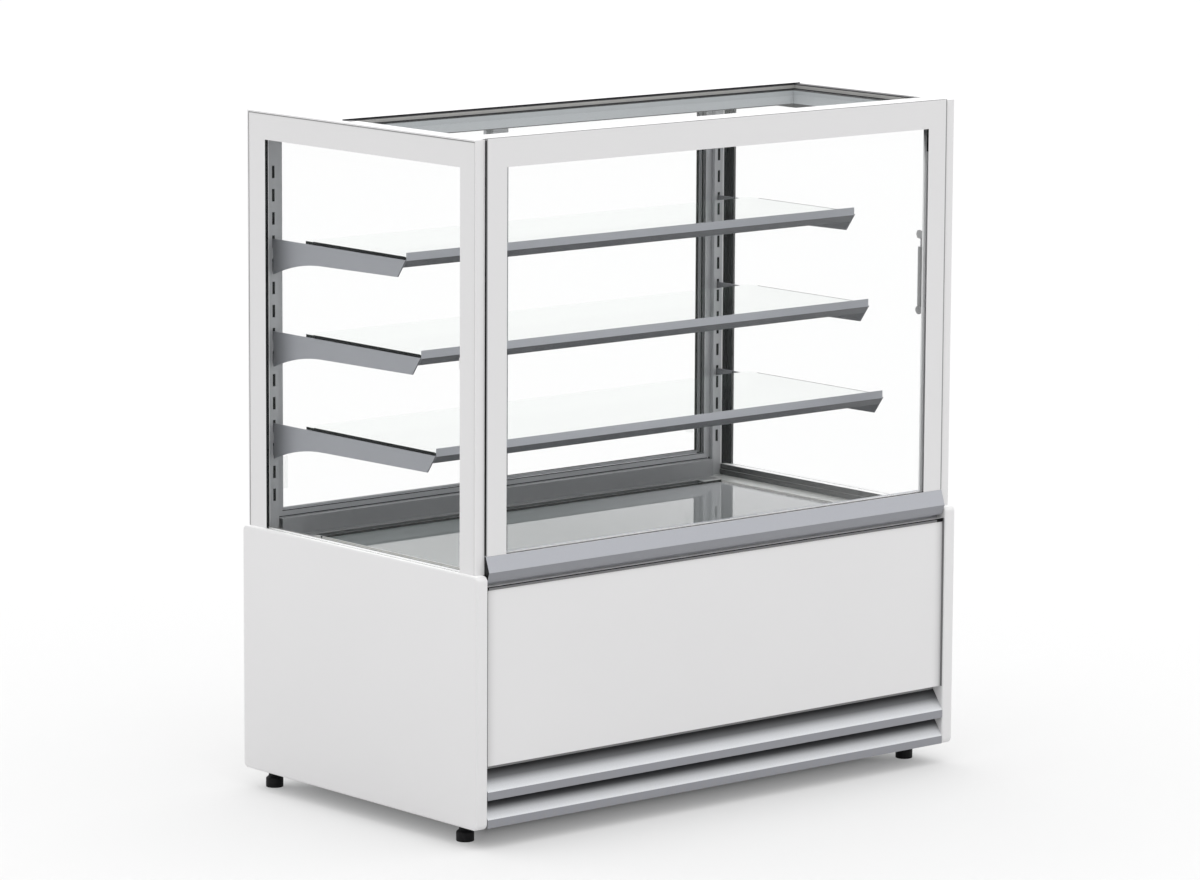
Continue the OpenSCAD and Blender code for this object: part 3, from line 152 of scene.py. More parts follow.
class Wire:
    """One output of a material's nodes. Arithmetic on it adds Math nodes."""

    def __init__(self, tree, out):
        self.tree, self.out = tree, out

    def math(self, operation, *others, clamp=False):
        node = self.tree.nodes.new("ShaderNodeMath")
        node.operation = operation
        node.use_clamp = clamp
        for socket, value in zip(node.inputs, (self, *others)):
            feed(self.tree, socket, value)
        return Wire(self.tree, node.outputs[0])

    def __add__(self, other):
        return self.math("ADD", other)

    __radd__ = __add__

    def __sub__(self, other):
        return self.math("SUBTRACT", other)

    def __rsub__(self, other):
        return (self * -1) + other

    def __mul__(self, other):
        return self.math("MULTIPLY", other)

    __rmul__ = __mul__

    def __truediv__(self, other):
        return self.math("DIVIDE", other)

    def __abs__(self):
        return self.math("ABSOLUTE")

    def above(self, value):
        return self.math("GREATER_THAN", value)

    def below(self, value):
        return self.math("LESS_THAN", value)

    def within(self, low, high):
        return self.above(low) * self.below(high)

    def either(self, other):
        return self.math("MAXIMUM", other)

    def clamp(self):
        return self.math("ADD", 0.0, clamp=True)


def feed(tree, socket, value):
    """Links a wire or a socket to an input, or sets the input to a number or a colour"""
    if isinstance(value, Wire):
        tree.links.new(value.out, socket)
    elif isinstance(value, bpy.types.NodeSocket):
        tree.links.new(value, socket)
    elif isinstance(value, (tuple, list, Vector)) or hasattr(value, "hsv"):
        value = tuple(value)
        size = len(socket.default_value)
        socket.default_value = value + (1.0,) * (size - len(value))
    else:
        socket.default_value = value


def socket_name(name):
    """The socket that a keyword stands for: Base_Color is Base Color, IOR stays IOR"""
    return name if name.isupper() else name.replace("_", " ").title()


class Finish:
    """A material and its Principled shader"""

    def __init__(self, name, **values):
        self.name = name
        self.material = bpy.data.materials.new(name)
        self.material.use_nodes = True
        self.tree = self.material.node_tree
        self.shader = self.tree.nodes["Principled BSDF"]
        self.output = self.tree.nodes["Material Output"]
        self.set(**values)

    def set(self, **values):
        for name, value in values.items():
            feed(self.tree, self.shader.inputs[socket_name(name)], value)
        return self

    def node(self, kind, settings=None, **inputs):
        node = self.tree.nodes.new(kind)
        for name, value in (settings or {}).items():
            if name == "stops":
                ramp = node.color_ramp.elements
                while len(ramp) < len(value):
                    ramp.new(0.5)
                for element, (place, colour) in zip(ramp, value):
                    element.position, element.color = place, colour
            else:
                setattr(node, name, value)
        for name, value in inputs.items():
            feed(self.tree, node.inputs[socket_name(name)], value)
        return node

    def wire(self, socket):
        return Wire(self.tree, socket)

    def parts(self, output):
        """x, y and z of one output of the texture coordinates, in the case's own frame"""
        whole = self.node("ShaderNodeTexCoord").outputs[output]
        split = self.node("ShaderNodeSeparateXYZ", Vector=whole)
        return tuple(self.wire(split.outputs[i]) for i in range(3))

    def place(self):
        """The point's x, y and z"""
        return self.parts("Object")

    def base(self):
        """The wire that now feeds the base colour"""
        return self.wire(self.shader.inputs["Base Color"].links[0].from_socket)

    def facing(self):
        """The surface normal's x, y and z"""
        return self.parts("Normal")

    def noise(self, scale, detail=2.0, stretch=(1, 1, 1)):
        where = self.node("ShaderNodeTexCoord").outputs["Object"]
        mapped = self.node("ShaderNodeMapping", Vector=where, Scale=stretch)
        made = self.node("ShaderNodeTexNoise", Vector=mapped.outputs[0], Scale=scale, Detail=detail)
        return self.wire(made.outputs["Fac"])

    def mix(self, factor, a, b):
        """Colour a where factor is 0, b where it is 1"""
        node = self.tree.nodes.new("ShaderNodeMix")
        node.data_type = "RGBA"
        for index, value in ((0, factor), (6, a), (7, b)):
            feed(self.tree, node.inputs[index], value)
        return Wire(self.tree, node.outputs[2])

    def bump(self, height, strength, distance):
        node = self.node("ShaderNodeBump", Height=height, Strength=strength, Distance=distance)
        return self.set(Normal=self.wire(node.outputs[0]))

    def blend(self, factor, first, second):
        """Makes the surface from the first shader where factor is 0 and the second where it is 1"""
        choice = self.node("ShaderNodeMixShader", Fac=factor)
        self.tree.links.new(first.outputs[0], choice.inputs[1])
        self.tree.links.new(second.outputs[0], choice.inputs[2])
        self.tree.links.new(choice.outputs[0], self.output.inputs[0])
        return self


def shade(colour, factor):
    """A darker or lighter shade of a colour"""
    return tuple(min(1.0, c * factor) for c in colour)


def coat(name, colour, roughness=0.38, peel=0.15):
    """Smooth paint with a faint orange peel"""
    made = Finish(name, Roughness=roughness)
    made.set(Base_Color=made.mix(made.noise(3.0), shade(colour, 0.985), shade(colour, 1.01)))
    return made.bump(made.noise(700.0, 1.0), peel, 0.00015)


def grained(name, colour, axis, roughness=0.34, metallic=0.85, contrast=0.05, bump=0.10):
    """Satin metal with a fine grain that runs along one axis"""
    stretch = [90.0, 90.0, 90.0]
    stretch[axis] = 1.2
    made = Finish(name, Metallic=metallic)
    grain = made.noise(12.0, 3.0, stretch)
    made.set(
        Base_Color=made.mix(grain, shade(colour, 1 - contrast), shade(colour, 1 + contrast)),
        Roughness=grain * 0.08 + (roughness - 0.04),
    )
    return made.bump(grain, bump, 0.00008)


def textured(name, colour, roughness=0.5, grain=0.25, size=1500.0, metallic=0.0):
    """Moulded plastic, rubber or textured coat with a fine even grain"""
    made = Finish(name, Metallic=metallic)
    speck = made.noise(size, 2.0)
    made.set(
        Base_Color=made.mix(speck, shade(colour, 0.93), shade(colour, 1.07)),
        Roughness=speck * 0.10 + (roughness - 0.05),
    )
    return made.bump(speck, grain, 0.0002)


def two_toned(made, colour, other, where):
    """Gives the faces where the mask is 1 another base colour, with the same fine variation"""
    speck = made.noise(420.0, 2.0)
    plain = made.mix(speck, shade(colour, 0.95), shade(colour, 1.05))
    changed = made.mix(speck, shade(other, 0.95), shade(other, 1.05))
    return made.set(Base_Color=made.mix(where, plain, changed))


def bordered_pane(name, colours, border_of, back_of, edge_of):
    """Clear glass with a printed border: white from outside, dark from inside and at the ground edges"""
    made = Finish(name, Roughness=0.30, IOR=1.0, Coat_Roughness=0.06)
    border = border_of(made).clamp()
    edge = edge_of(made).clamp()
    back = back_of(made).either(edge).clamp()
    printed = border.either(edge)
    white = made.mix(made.noise(3.0), shade(colours.white, 0.955), shade(colours.white, 0.98))
    ink = made.mix(back, white, tuple(colours.dark))
    made.set(
        Base_Color=made.mix(printed, tuple(colours.glass), ink),
        Alpha=printed * (1 - CLEAR) + CLEAR,
        Coat_Weight=border * (1 - back),
    )
    return made


def mirrored_glass(name, colours, strength):
    """Clear glass that mirrors what lies behind it where it is seen at a low angle"""
    made = Finish(name, Roughness=0.04, IOR=1.0, Base_Color=tuple(colours.glass), Alpha=CLEAR)
    low_angle = made.wire(made.node("ShaderNodeLayerWeight", Blend=0.5).outputs["Facing"])
    flat = abs(made.facing()[2]).above(0.5)
    mirror = made.node("ShaderNodeBsdfGlossy", Color=(0.985, 1.0, 0.99), Roughness=0.0)
    share = ((low_angle - 0.5) / 0.33).clamp() * strength * flat + 0.02
    return made.blend(share, made.shader, mirror)


def panel_paint(colours):
    """White paint, shaded where the front panel runs in behind the side panels"""
    width, strength = 32 * MM, 0.32
    made = coat("white_paint", tuple(colours.white))
    low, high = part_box("front_panel")
    x, y, z = made.place()
    near_side = (1 - (high.x - abs(x)) / width).clamp() * y.below(low.y + 2 * MM) * z.below(high.z)
    return made.set(
        Base_Color=made.mix(near_side * near_side * strength, made.base(), tuple(colours.dark))
    )


def board_paint(colours):
    """White paint of the side panels, with a painted highlight: a lighter colour on the faces that look up"""
    made = coat("white_board", tuple(colours.white), 0.42, 0.12)
    # Painted highlight: the faces that look up take a near-white colour
    return made.set(Base_Color=made.mix(made.facing()[2].above(0.9), made.base(), (0.97, 0.97, 0.97)))


def sill_metal(colours):
    """Satin metal with painted shade on the faces that look down, a painted highlight where the glass stands, and
    black at the ends
    """
    metal = tuple(colours.metal)
    made = grained("sill_grey", metal, 0, 0.42, 0.45)
    nx, _, nz = made.facing()
    # Painted shade: the faces that look down take a darker copy of the metal
    two_toned(made, metal, shade(metal, 0.66), nz.below(-0.05))
    low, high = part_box("front_glass")
    # Painted highlight: where the glass stands, the top of the sill is made pale against the shade under the glass
    bed = nz.above(0.9) * made.place()[1].within(low.y - 1.2 * MM, high.y + 2.8 * MM)
    bedded = made.mix(bed, made.base(), (0.90, 0.89, 0.87))
    return made.set(Base_Color=made.mix(abs(nx).above(0.5), bedded, tuple(colours.black)))


def louvre_metal(colours):
    """Satin metal with painted light and shade on its slopes, from a painted highlight at the lip to painted black
    shade at the rear flange
    """
    stops = (
        (0.0, (0.70, 0.715, 0.74, 1)), (0.30, (0.50, 0.51, 0.53, 1)),
        (0.60, (0.105, 0.108, 0.114, 1)), (0.92, (0.016, 0.016, 0.018, 1)),
    )
    slope_depth, flange_depth = 30 * MM, 20 * MM
    made = grained("louvre_grey", tuple(colours.metal), 0, 0.45, 0.25)
    _, y, _ = made.place()
    _, ny, nz = made.facing()
    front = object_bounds()[0].y
    # Painted light and shade: along each slope the colour runs from bright near the lip to black towards the rear
    depth = ((y - front) / slope_depth).clamp()
    painted_slope_light = made.wire(made.node("ShaderNodeValToRGB", {"stops": stops}, Fac=depth).outputs["Color"])
    speckled = made.mix(made.noise(420.0, 2.0) * 0.16, painted_slope_light, tuple(colours.dark))
    lipped = made.mix(nz.below(0.3), speckled, tuple(colours.lip))
    flange = abs(ny).above(0.9) * y.above(front + flange_depth)
    return made.set(Base_Color=made.mix(flange, lipped, (0.24, 0.242, 0.245)))


def shelf_metal(colours):
    """Textured grey coat with painted shade: darker on the faces that look sideways, underneath, inside the brackets
    and close to the posts
    """
    shelf = tuple(colours.shelf)
    shade_start, shade_length = 262 * MM, 100 * MM
    made = textured("shelf_grey", shelf, 0.48, 0.3, 1100.0, 0.15)
    x, y, _ = made.place()
    nx, _, nz = made.facing()
    # Painted shade: the faces that look sideways take a darker copy of the grey
    two_toned(made, shelf, shade(shelf, 0.80), abs(nx).above(0.5))
    # Painted shade underneath, on the inner faces of the brackets and close to the posts
    inward = (nx * x).below(-0.3)
    near_post = ((y - shade_start) / shade_length).clamp() * 0.6
    shaded = nz.below(-0.3).either(inward).either(near_post)
    return made.set(Base_Color=made.mix(shaded, made.base(), shade(shelf, 0.28)))


def post_metal(colours):
    """Grey metal of the posts and the darker upstand, with painted black shade on the walls inside the slots"""
    made = textured("post_grey", tuple(colours.post), 0.50, 0.2, 900.0, 0.2)
    x, _, z = made.place()
    nx, _, nz = made.facing()
    low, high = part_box("slotted_posts")
    two_toned(made, tuple(colours.post), tuple(colours.upstand), abs(x).below(high.x - 27.2 * MM))
    # Painted shade: the walls inside the slots are made black
    column = abs(x).within(high.x - 22.2 * MM, high.x - 5.2 * MM) * z.within(low.z + 45 * MM, high.z - 3.7 * MM)
    wall = abs(nx).either(abs(nz)).above(0.5) * column
    return made.set(Base_Color=made.mix(wall, made.base(), tuple(colours.black)))


def door_metal(sizes, colours):
    """Anodised metal: pale on the jambs, black in the tracks, partly for their seals and partly as painted shade,
    and painted black shade on the stiles that stand in them
    """
    made = textured("door_grey", tuple(colours.door), 0.50, 0.2, 900.0, 0.2)
    x, y, z = made.place()
    x, ny = abs(x), made.facing()[1]
    front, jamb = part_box("rear_door_frame")[0].y, sizes.door_jamb
    lit = (ny.below(-0.5) * y.below(front + 5.5 * MM)).either(ny.above(0.5))
    lip = y.within(front + 1.1 * MM, front + 2.9 * MM)
    first_track = y.within(front + 11.5 * MM, front + 15.5 * MM) * x.below(jamb + 4.5 * MM)
    second_track = y.within(front + 18.7 * MM, front + 29.5 * MM)
    sides = lip.either(first_track).either(second_track) * x.above(jamb - 9 * MM)
    bottom = second_track * z.below(sizes.door_sill + 5 * MM)
    top = z.above(sizes.door_head - 2.2 * MM) * y.above(front + 2.5 * MM)
    # Painted shade: the tracks and the stiles in them are made black, except the faces that look to the front or the
    # rear
    track_shade = sides.either(bottom).either(top) * (1 - lit)
    on_jamb = x.above(jamb - 7 * MM) * (1 - second_track).either(lit)
    pale = made.mix(on_jamb, made.base(), tuple(colours.post))
    return made.set(Base_Color=made.mix(track_shade, pale, (0.014, 0.014, 0.015)))


def roof_metal(colours):
    """Grey collar of the glass roof: a pale ledge, black gaskets, and a white rim at the front and left"""
    rear_start, right_start = 60 * MM, 600 * MM
    made = textured("roof_grey", tuple(colours.roof), 0.45, 0.2, 900.0, 0.2)
    x, y, z = made.place()
    low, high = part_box("roof_frame")
    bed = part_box("roof_glass")[0].z
    far = y.above(rear_start).either(x.above(right_start))
    rim = z.above(high.z - 2.5 * MM)
    ledge = z.within(bed + 0.1 * MM, high.z - 2.5 * MM)
    gasket = (rim * far).either(z.within(bed - 2 * MM, bed + 0.1 * MM)).either(z.below(low.z + 2 * MM))
    collar = made.mix(made.noise(420.0, 2.0), shade(colours.roof, 0.95), shade(colours.roof, 1.05))
    inner = made.mix(ledge, collar, BEDDING)
    rimmed = made.mix(rim * (1 - far), inner, tuple(colours.white))
    return made.set(Base_Color=made.mix(gasket, rimmed, tuple(colours.dark)))


def sash_coat():
    """Dark coat of the front sash with painted light: lit grey on the reveals below a painted shade that fades in
    towards the top, a painted white highlight at their rear edge and a lit grey on the front face; grey too on the
    struts' stays
    """
    dark, lit_grey, reveal_highlight, face_lit_grey = (
        (0.045, 0.046, 0.048), (0.44, 0.44, 0.445), (0.85, 0.85, 0.85), (0.42, 0.42, 0.43))
    fade_start, fade_length = 1340 * MM, 70 * MM
    made = textured("sash_dark", dark, 0.5)
    x, y, z = made.place()
    nx, ny, _ = made.facing()
    low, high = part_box("front_sash")
    reveal = abs(nx).above(0.5) * abs(x).below(high.x - 46.5 * MM)
    stay = y.above(high.y - 25 * MM) * z.below(1300 * MM)
    # Painted light on the reveals, fading out into painted shade towards the top
    lit = (1 - ((z - fade_start) / fade_length).clamp()) * reveal
    two_toned(made, dark, lit_grey, lit.either(stay))
    # Painted highlight: the rear edge of the lit reveals is made white
    lip = lit * y.above(low.y + 5.5 * MM)
    front = ny.below(-0.5) * y.below(low.y + 1 * MM)
    # Painted light: the front face behind the glass takes a lit grey
    face = front * abs(x).below(high.x - 39.5 * MM) * z.below(1370 * MM)
    return made.set(Base_Color=made.mix(face, made.mix(lip, made.base(), reveal_highlight), face_lit_grey))


def deck_metal(colours):
    """Brushed metal of the deck with painted shade: dark side walls that deepen to the rear, a dark rear strip and a
    dark band at the air slot
    """
    wall_shade_grey, bar_highlight, strip_shade_grey, deep_shade_black = (
        (0.23, 0.231, 0.233), (0.75, 0.74, 0.72), (0.27, 0.275, 0.28), (0.018, 0.018, 0.019))
    deep_start, deep_length = -150 * MM, 430 * MM
    made = grained("deck_grey", tuple(colours.deck), 0, 0.36, 0.35)
    x, y, _ = made.place()
    x, sideways = abs(x), abs(made.facing()[0]).above(0.5)
    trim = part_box("deck_trim")[1]
    walls = sideways * x.above(640 * MM)
    # Painted shade: the side walls take a darker copy of the metal
    two_toned(made, tuple(colours.deck), wall_shade_grey, walls)
    # Painted highlight on the ends of the trim bar
    bar = sideways * x.within(trim.x - 7.5 * MM, trim.x + 2.5 * MM)
    # Painted shade on the rear strip
    rear_strip = y.above(300 * MM) * x.below(610 * MM)
    toned = made.mix(rear_strip, made.mix(bar, made.base(), bar_highlight), strip_shade_grey)
    # Painted shade that deepens to the rear on the side walls, and falls dark at the air slot
    deep = walls * ((y - deep_start) / deep_length).clamp() * 0.85
    air_slot_shade = y.within(trim.y - 5 * MM, trim.y + 1 * MM) * x.below(600 * MM)
    return made.set(Base_Color=made.mix(deep.either(air_slot_shade), toned, deep_shade_black))


def deck_mirror(colours):
    """Polished plate of the deck, with a painted reflection that turns cooler and darker to the left"""
    made = coat("deck_mirror", tuple(colours.plate), 0.03, 0.01)
    # Painted reflection: the plate turns cooler and darker towards the left
    left_reflection = 1 - ((made.place()[0] + 100 * MM) / (600 * MM)).clamp()
    return made.set(Base_Color=made.mix(left_reflection, made.base(), (0.225, 0.25, 0.25)))


def filter_mesh():
    """Black woven mesh of the dust filter, whose black also stands in for the shade behind the louvre blades"""
    pitch = 900.0
    # The black mesh also stands in for the shade behind the louvre blades
    made = Finish("shade_and_filter_black", Roughness=0.6)
    x, _, z = made.place()
    weave = ((x * pitch).math("SINE") * (z * pitch).math("SINE")).above(0.0)
    made.set(Base_Color=made.mix(weave, (0.006, 0.006, 0.006), (0.045, 0.045, 0.047)))
    return made.bump(weave, 0.4, 0.0006)


def front_pane(sizes, colours):
    """The front glass, printed at the top and the sides; the print behind starts a little further out"""
    low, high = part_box("front_glass")

    def border(m):
        x, y, z = m.place()
        inset = y.above(low.y + 4 * MM) * z.below(1370 * MM) * (8 * MM)
        sides = abs(x).above(inset + (high.x - sizes.front_border))
        return sides.either(z.above(high.z - sizes.front_border_top))

    def back(m):
        return m.place()[1].above(low.y + 4 * MM)

    def ground_edge(m):
        nx, _, nz = m.facing()
        return abs(nx).above(0.5).either(nz.above(0.5))

    made = bordered_pane("front_pane", colours, border, back, ground_edge)
    outer_line = abs(made.place()[0]).above(high.x - 2.6 * MM)
    return made.set(Base_Color=made.mix(outer_line, made.base(), (0.30, 0.30, 0.305)))


def side_pane(sizes, colours):
    """The side glass, printed at the top, the front and the rear"""
    low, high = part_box("right_side_glass")

    def border(m):
        _, y, z = m.place()
        front = y.below(low.y + sizes.side_border_front)
        rear = y.above(high.y - sizes.side_border_rear)
        return front.either(rear).either(z.above(high.z - sizes.side_border_top))

    def back(m):
        return abs(m.place()[0]).below(high.x - 2 * MM)

    def ground_edge(m):
        _, ny, nz = m.facing()
        return abs(ny).above(0.5).either(nz.above(0.5))

    return bordered_pane("side_pane", colours, border, back, ground_edge)


def door_pane(colours):
    """Clear glass of the rear doors with a slight roller wave"""
    made = Finish("door_pane", Roughness=0.03, IOR=1.0, Base_Color=tuple(colours.glass), Alpha=CLEAR)
    return made.bump(made.noise(6.0), 0.02, 0.0005)


def roof_pane(colours):
    """The roof glass, its edges bedded in grey below and black above"""
    made = mirrored_glass("roof_pane", colours, 0.03)
    nx, ny, _ = made.facing()
    edge = abs(nx).either(abs(ny)).above(0.5)
    bedded = made.place()[2].below(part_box("roof_glass")[0].z + 2.3 * MM)
    sides = made.mix(bedded, BEDDING, tuple(colours.dark))
    return made.set(
        Base_Color=made.mix(edge, tuple(colours.glass), sides), Alpha=(edge + CLEAR).clamp()
    )


def shelf_pane(colours):
    """The shelves' glass: a green rear edge, dark streaked ends and a faint veil over the rear"""
    rear_green, streak_dark, streak_green = (0.42, 0.56, 0.48), (0.004, 0.006, 0.005), (0.10, 0.135, 0.115)
    made = mirrored_glass("shelf_pane", colours, 0.93)
    nx, ny, _ = made.facing()
    end, rear = abs(nx).above(0.5), abs(ny).above(0.5)
    veil = made.place()[1].above(158 * MM)
    streak = made.noise(9.0, 3.0, (1, 1, 0.1)).above(0.56)
    streaked = made.mix(streak, streak_dark, streak_green)
    return made.set(
        Base_Color=made.mix(end, made.mix(rear, tuple(colours.glass), rear_green), streaked),
        Alpha=(end * 0.95 + rear * 0.50 + veil * 0.06 + 0.02).clamp(),
    )


def pull_clear(colours):
    """Clear moulded grip"""
    made = Finish("pull_clear", Roughness=0.08, IOR=1.1, Base_Color=tuple(colours.glass), Alpha=0.06)
    return made.bump(made.noise(40.0), 0.05, 0.0003)


def plain_finishes(colours):
    """The finishes that are the same all over a piece"""
    black = tuple(colours.black)
    return (
        textured("strut_grey", (0.36, 0.36, 0.365), 0.42, 0.1, 900.0, 0.2),
        grained("bright_steel", (0.55, 0.55, 0.57), 2, 0.24, 1.0),
        textured("well_skin", (0.52, 0.53, 0.54), 0.5),
        textured("zinc_sheet", (0.30, 0.31, 0.32), 0.42, 0.2, 260.0, 0.5),
        grained("coil_metal", (0.60, 0.61, 0.62), 2, 0.40, 0.8),
        textured("black_plastic", black, 0.48),
        textured("foot_black", black, 0.55).set(IOR=1.25),
        textured("seal_black", black, 0.65).set(IOR=1.1),
        textured("seal_grey", (0.20, 0.20, 0.205), 0.6).set(IOR=1.2),
        textured("seal_pale", (0.30, 0.30, 0.30), 0.6).set(IOR=1.2),
        coat("black_paint", (0.012, 0.012, 0.013), 0.35, 0.25),
        coat("motor_grey", (0.075, 0.078, 0.082), 0.42, 0.3),
        grained("copper", (0.70, 0.33, 0.20), 2, 0.30, 1.0, 0.10),
        coat("lamp_white", (0.85, 0.86, 0.88), 0.25, 0.05),
        textured("display_black", (0.006, 0.006, 0.008), 0.12, 0.02),
    )


class Kit:
    """The finishes, made once for each run and shared by the operators"""

    made = {}

    @classmethod
    def make(cls, sizes, colours):
        finishes = (
            panel_paint(colours), board_paint(colours), sill_metal(colours), louvre_metal(colours),
            shelf_metal(colours), post_metal(colours), door_metal(sizes, colours), roof_metal(colours),
            sash_coat(), deck_metal(colours), deck_mirror(colours), filter_mesh(),
            front_pane(sizes, colours), side_pane(sizes, colours), door_pane(colours), roof_pane(colours),
            shelf_pane(colours), pull_clear(colours), *plain_finishes(colours),
        )
        cls.made = {finish.name: finish.material for finish in finishes}

    @classmethod
    def get(cls, name):
        return cls.made[name]


def box_mesh(bm, low, high):
    """A box between two corners, added to bm; returns its vertices"""
    low, high = Vector(low), Vector(high)
    made = bmesh.ops.create_cube(bm, size=1.0)["verts"]
    bmesh.ops.scale(bm, vec=high - low, verts=made)
    bmesh.ops.translate(bm, vec=(low + high) / 2, verts=made)
    return made


def round_edges(bm, edges, radius, segments):
    """Rounds some edges of bm"""
    bmesh.ops.bevel(bm, geom=edges, offset=radius, segments=segments, affect="EDGES", profile=0.5, material=-1)


def slab(bm, x, y, z, radius=0.3):
    """A soft-edged box from three pairs of millimetres"""
    pairs = [sorted(pair) for pair in (x, y, z)]
    low, high = (Vector([pair[i] for pair in pairs]) * MM for i in (0, 1))
    made = box_mesh(bm, low, high)
    round_edges(bm, list({e for v in made for e in v.link_edges}), radius * MM, 2)


def turned(bm, profile, centre, axis=(0, 0, 1), steps=36):
    """Lathe work: (radius, height) points in millimetres, spun about an axis through centre"""
    turn = Vector(axis).to_track_quat("Z", "Y").to_matrix()
    centre = Vector(centre) * MM
    points = [bm.verts.new(turn @ (Vector((r, 0, z)) * MM) + centre) for r, z in profile]
    lines = [bm.edges.new(pair) for pair in zip(points, points[1:])]
    bmesh.ops.spin(bm, geom=points + lines, cent=centre, axis=turn @ Vector((0, 0, 1)), dvec=(0, 0, 0),
                   steps=steps, angle=2 * math.pi, use_merge=True)
    bmesh.ops.remove_doubles(bm, verts=bm.verts, dist=0.00001)


def screw_head(bm, centre, axis, radius):
    """A low domed head with a hexagonal recess"""
    r = radius / MM
    turned(bm, [(0, 0), (r, 0), (r, r * 0.2), (r * 0.8, r * 0.42), (r * 0.45, r * 0.5), (r * 0.42, r * 0.15),
                (0, r * 0.15)], centre, axis, 18)


def piece(name, bm, finish, body, replaces=()):
    """Closes a bmesh into a named piece that rides on a body"""
    bmesh.ops.recalc_face_normals(bm, faces=bm.faces)
    mesh = bpy.data.meshes.new(name)
    bm.to_mesh(mesh)
    bm.free()
    mesh.shade_smooth()
    mesh.set_sharp_from_angle(angle=math.radians(35))
    made = bpy.data.objects.new(name, mesh)
    bpy.context.scene.collection.objects.link(made)
    mesh.materials.append(Kit.get(finish))
    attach(made, body)
    if replaces:
        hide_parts(*replaces)


class CASE_OT_finishes(bpy.types.Operator):
    """Give every piece of the frame its finish"""

    bl_idname = "case.finishes"
    bl_label = "Finishes"

    def execute(self, context):
        Kit.make(context.scene.case_sizes, context.scene.case_colours)
        for row in frame["record"]["subparts"]:
            target = frame["nodes"][row["node"]]
            if not target.material_slots:
                target.data.materials.append(None)
            for place in target.material_slots:
                place.material = Kit.get(row["material_slot"])
        return {"FINISHED"}


class CASE_OT_base_panels(bpy.types.Operator):
    """Make the base side panels with soft edges"""

    bl_idname = "case.base_panels"
    bl_label = "Base side panels"

    def execute(self, context):
        sizes = context.scene.case_sizes
        for side in ("left", "right"):
            low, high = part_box(side + "_base_panel")
            bm = bmesh.new()
            box_mesh(bm, low, high)
            across = [e for e in bm.edges if abs(e.verts[0].co.x - e.verts[1].co.x) > 0.01]
            round_edges(bm, across, sizes.corner_radius, 8)
            around = [e for e in bm.edges if abs(e.verts[0].co.x - e.verts[1].co.x) < 1e-6]
            round_edges(bm, around, sizes.edge_radius, 4)
            piece(side + "_base_skin", bm, "white_board", "chassis", replaces=(side + "_base_panel",))
        return {"FINISHED"}


class CASE_OT_pane_seals(bpy.types.Operator):
    """Make the gaskets of the side panes and the seals beside the posts"""

    bl_idname = "case.pane_seals"
    bl_label = "Side pane seals"

    def execute(self, context):
        sizes = context.scene.case_sizes
        gasket, width = sizes.pane_gasket / MM, sizes.post_seal / MM
        proud, line, gap, clear = 0.7, 0.9, 0.3, 0.4
        post, post_high = (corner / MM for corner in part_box("slotted_posts"))
        for side, sign in (("left", -1), ("right", 1)):
            low, high = (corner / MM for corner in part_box(side + "_side_glass"))
            outer = max(abs(low.x), abs(high.x))
            inner = min(abs(low.x), abs(high.x))
            x = (sign * outer, sign * (outer + proud))
            bm = bmesh.new()
            slab(bm, x, (low.y, high.y), (high.z - gasket, high.z), 0.2)
            for y in ((low.y, low.y + line), (high.y - line, high.y)):
                slab(bm, x, y, (low.z + gap, high.z - gasket), 0.2)
            piece(side + "_pane_gasket", bm, "seal_pale", "chassis")

            z = (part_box(side + "_base_panel")[1].z / MM + gap, post_high.z)
            edge = sign * (inner - clear)
            bm = bmesh.new()
            slab(bm, (edge, sign * (inner - width)), (post.y - 2.4, post.y - gap), z)
            slab(bm, (edge, sign * (inner - 4)), (post.y - 5, post.y - 2), z, 1.2)
            piece(side + "_post_seal", bm, "seal_black", "chassis")
        return {"FINISHED"}


class CASE_OT_post_slot_shades(bpy.types.Operator):
    """Make black sheets behind the slots of the posts, which stand in for the shade inside the hollow posts"""

    bl_idname = "case.post_liners"
    bl_label = "Post slot shades"

    def execute(self, context):
        low, high = (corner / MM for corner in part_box("slotted_posts"))
        outer, inner, wall = high.x - 2.6, high.x - 21.4, 1.0
        z = (low.z + 0.5, high.z - 0.5)
        for side, sign in (("left", -1), ("right", 1)):
            bm = bmesh.new()
            slab(bm, (sign * outer, sign * inner), (low.y + 7, low.y + 8.2), z)
            for x in (outer, inner + wall):
                slab(bm, (sign * x, sign * (x - wall)), (low.y + 2.6, low.y + 7.4), z)
            # Black sheets behind the slots, standing in for the shade inside the hollow post
            piece(side + "_post_liner", bm, "seal_black", "chassis")
        return {"FINISHED"}


class CASE_OT_roof_seals(bpy.types.Operator):
    """Make the bead between the glass roof and the rear cover"""

    bl_idname = "case.roof_seals"
    bl_label = "Roof seals"

    def execute(self, context):
        low, high = (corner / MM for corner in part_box("top_cover"))
        end, ahead, behind = 0.5, 1.2, 1.6
        bead = context.scene.case_sizes.roof_bead / MM
        bm = bmesh.new()
        slab(bm, (low.x + end, -low.x - end), (low.y - ahead, low.y + behind), (high.z + 0.02, high.z + bead), 0.5)
        piece("roof_rear_bead", bm, "seal_black", "chassis")
        return {"FINISHED"}


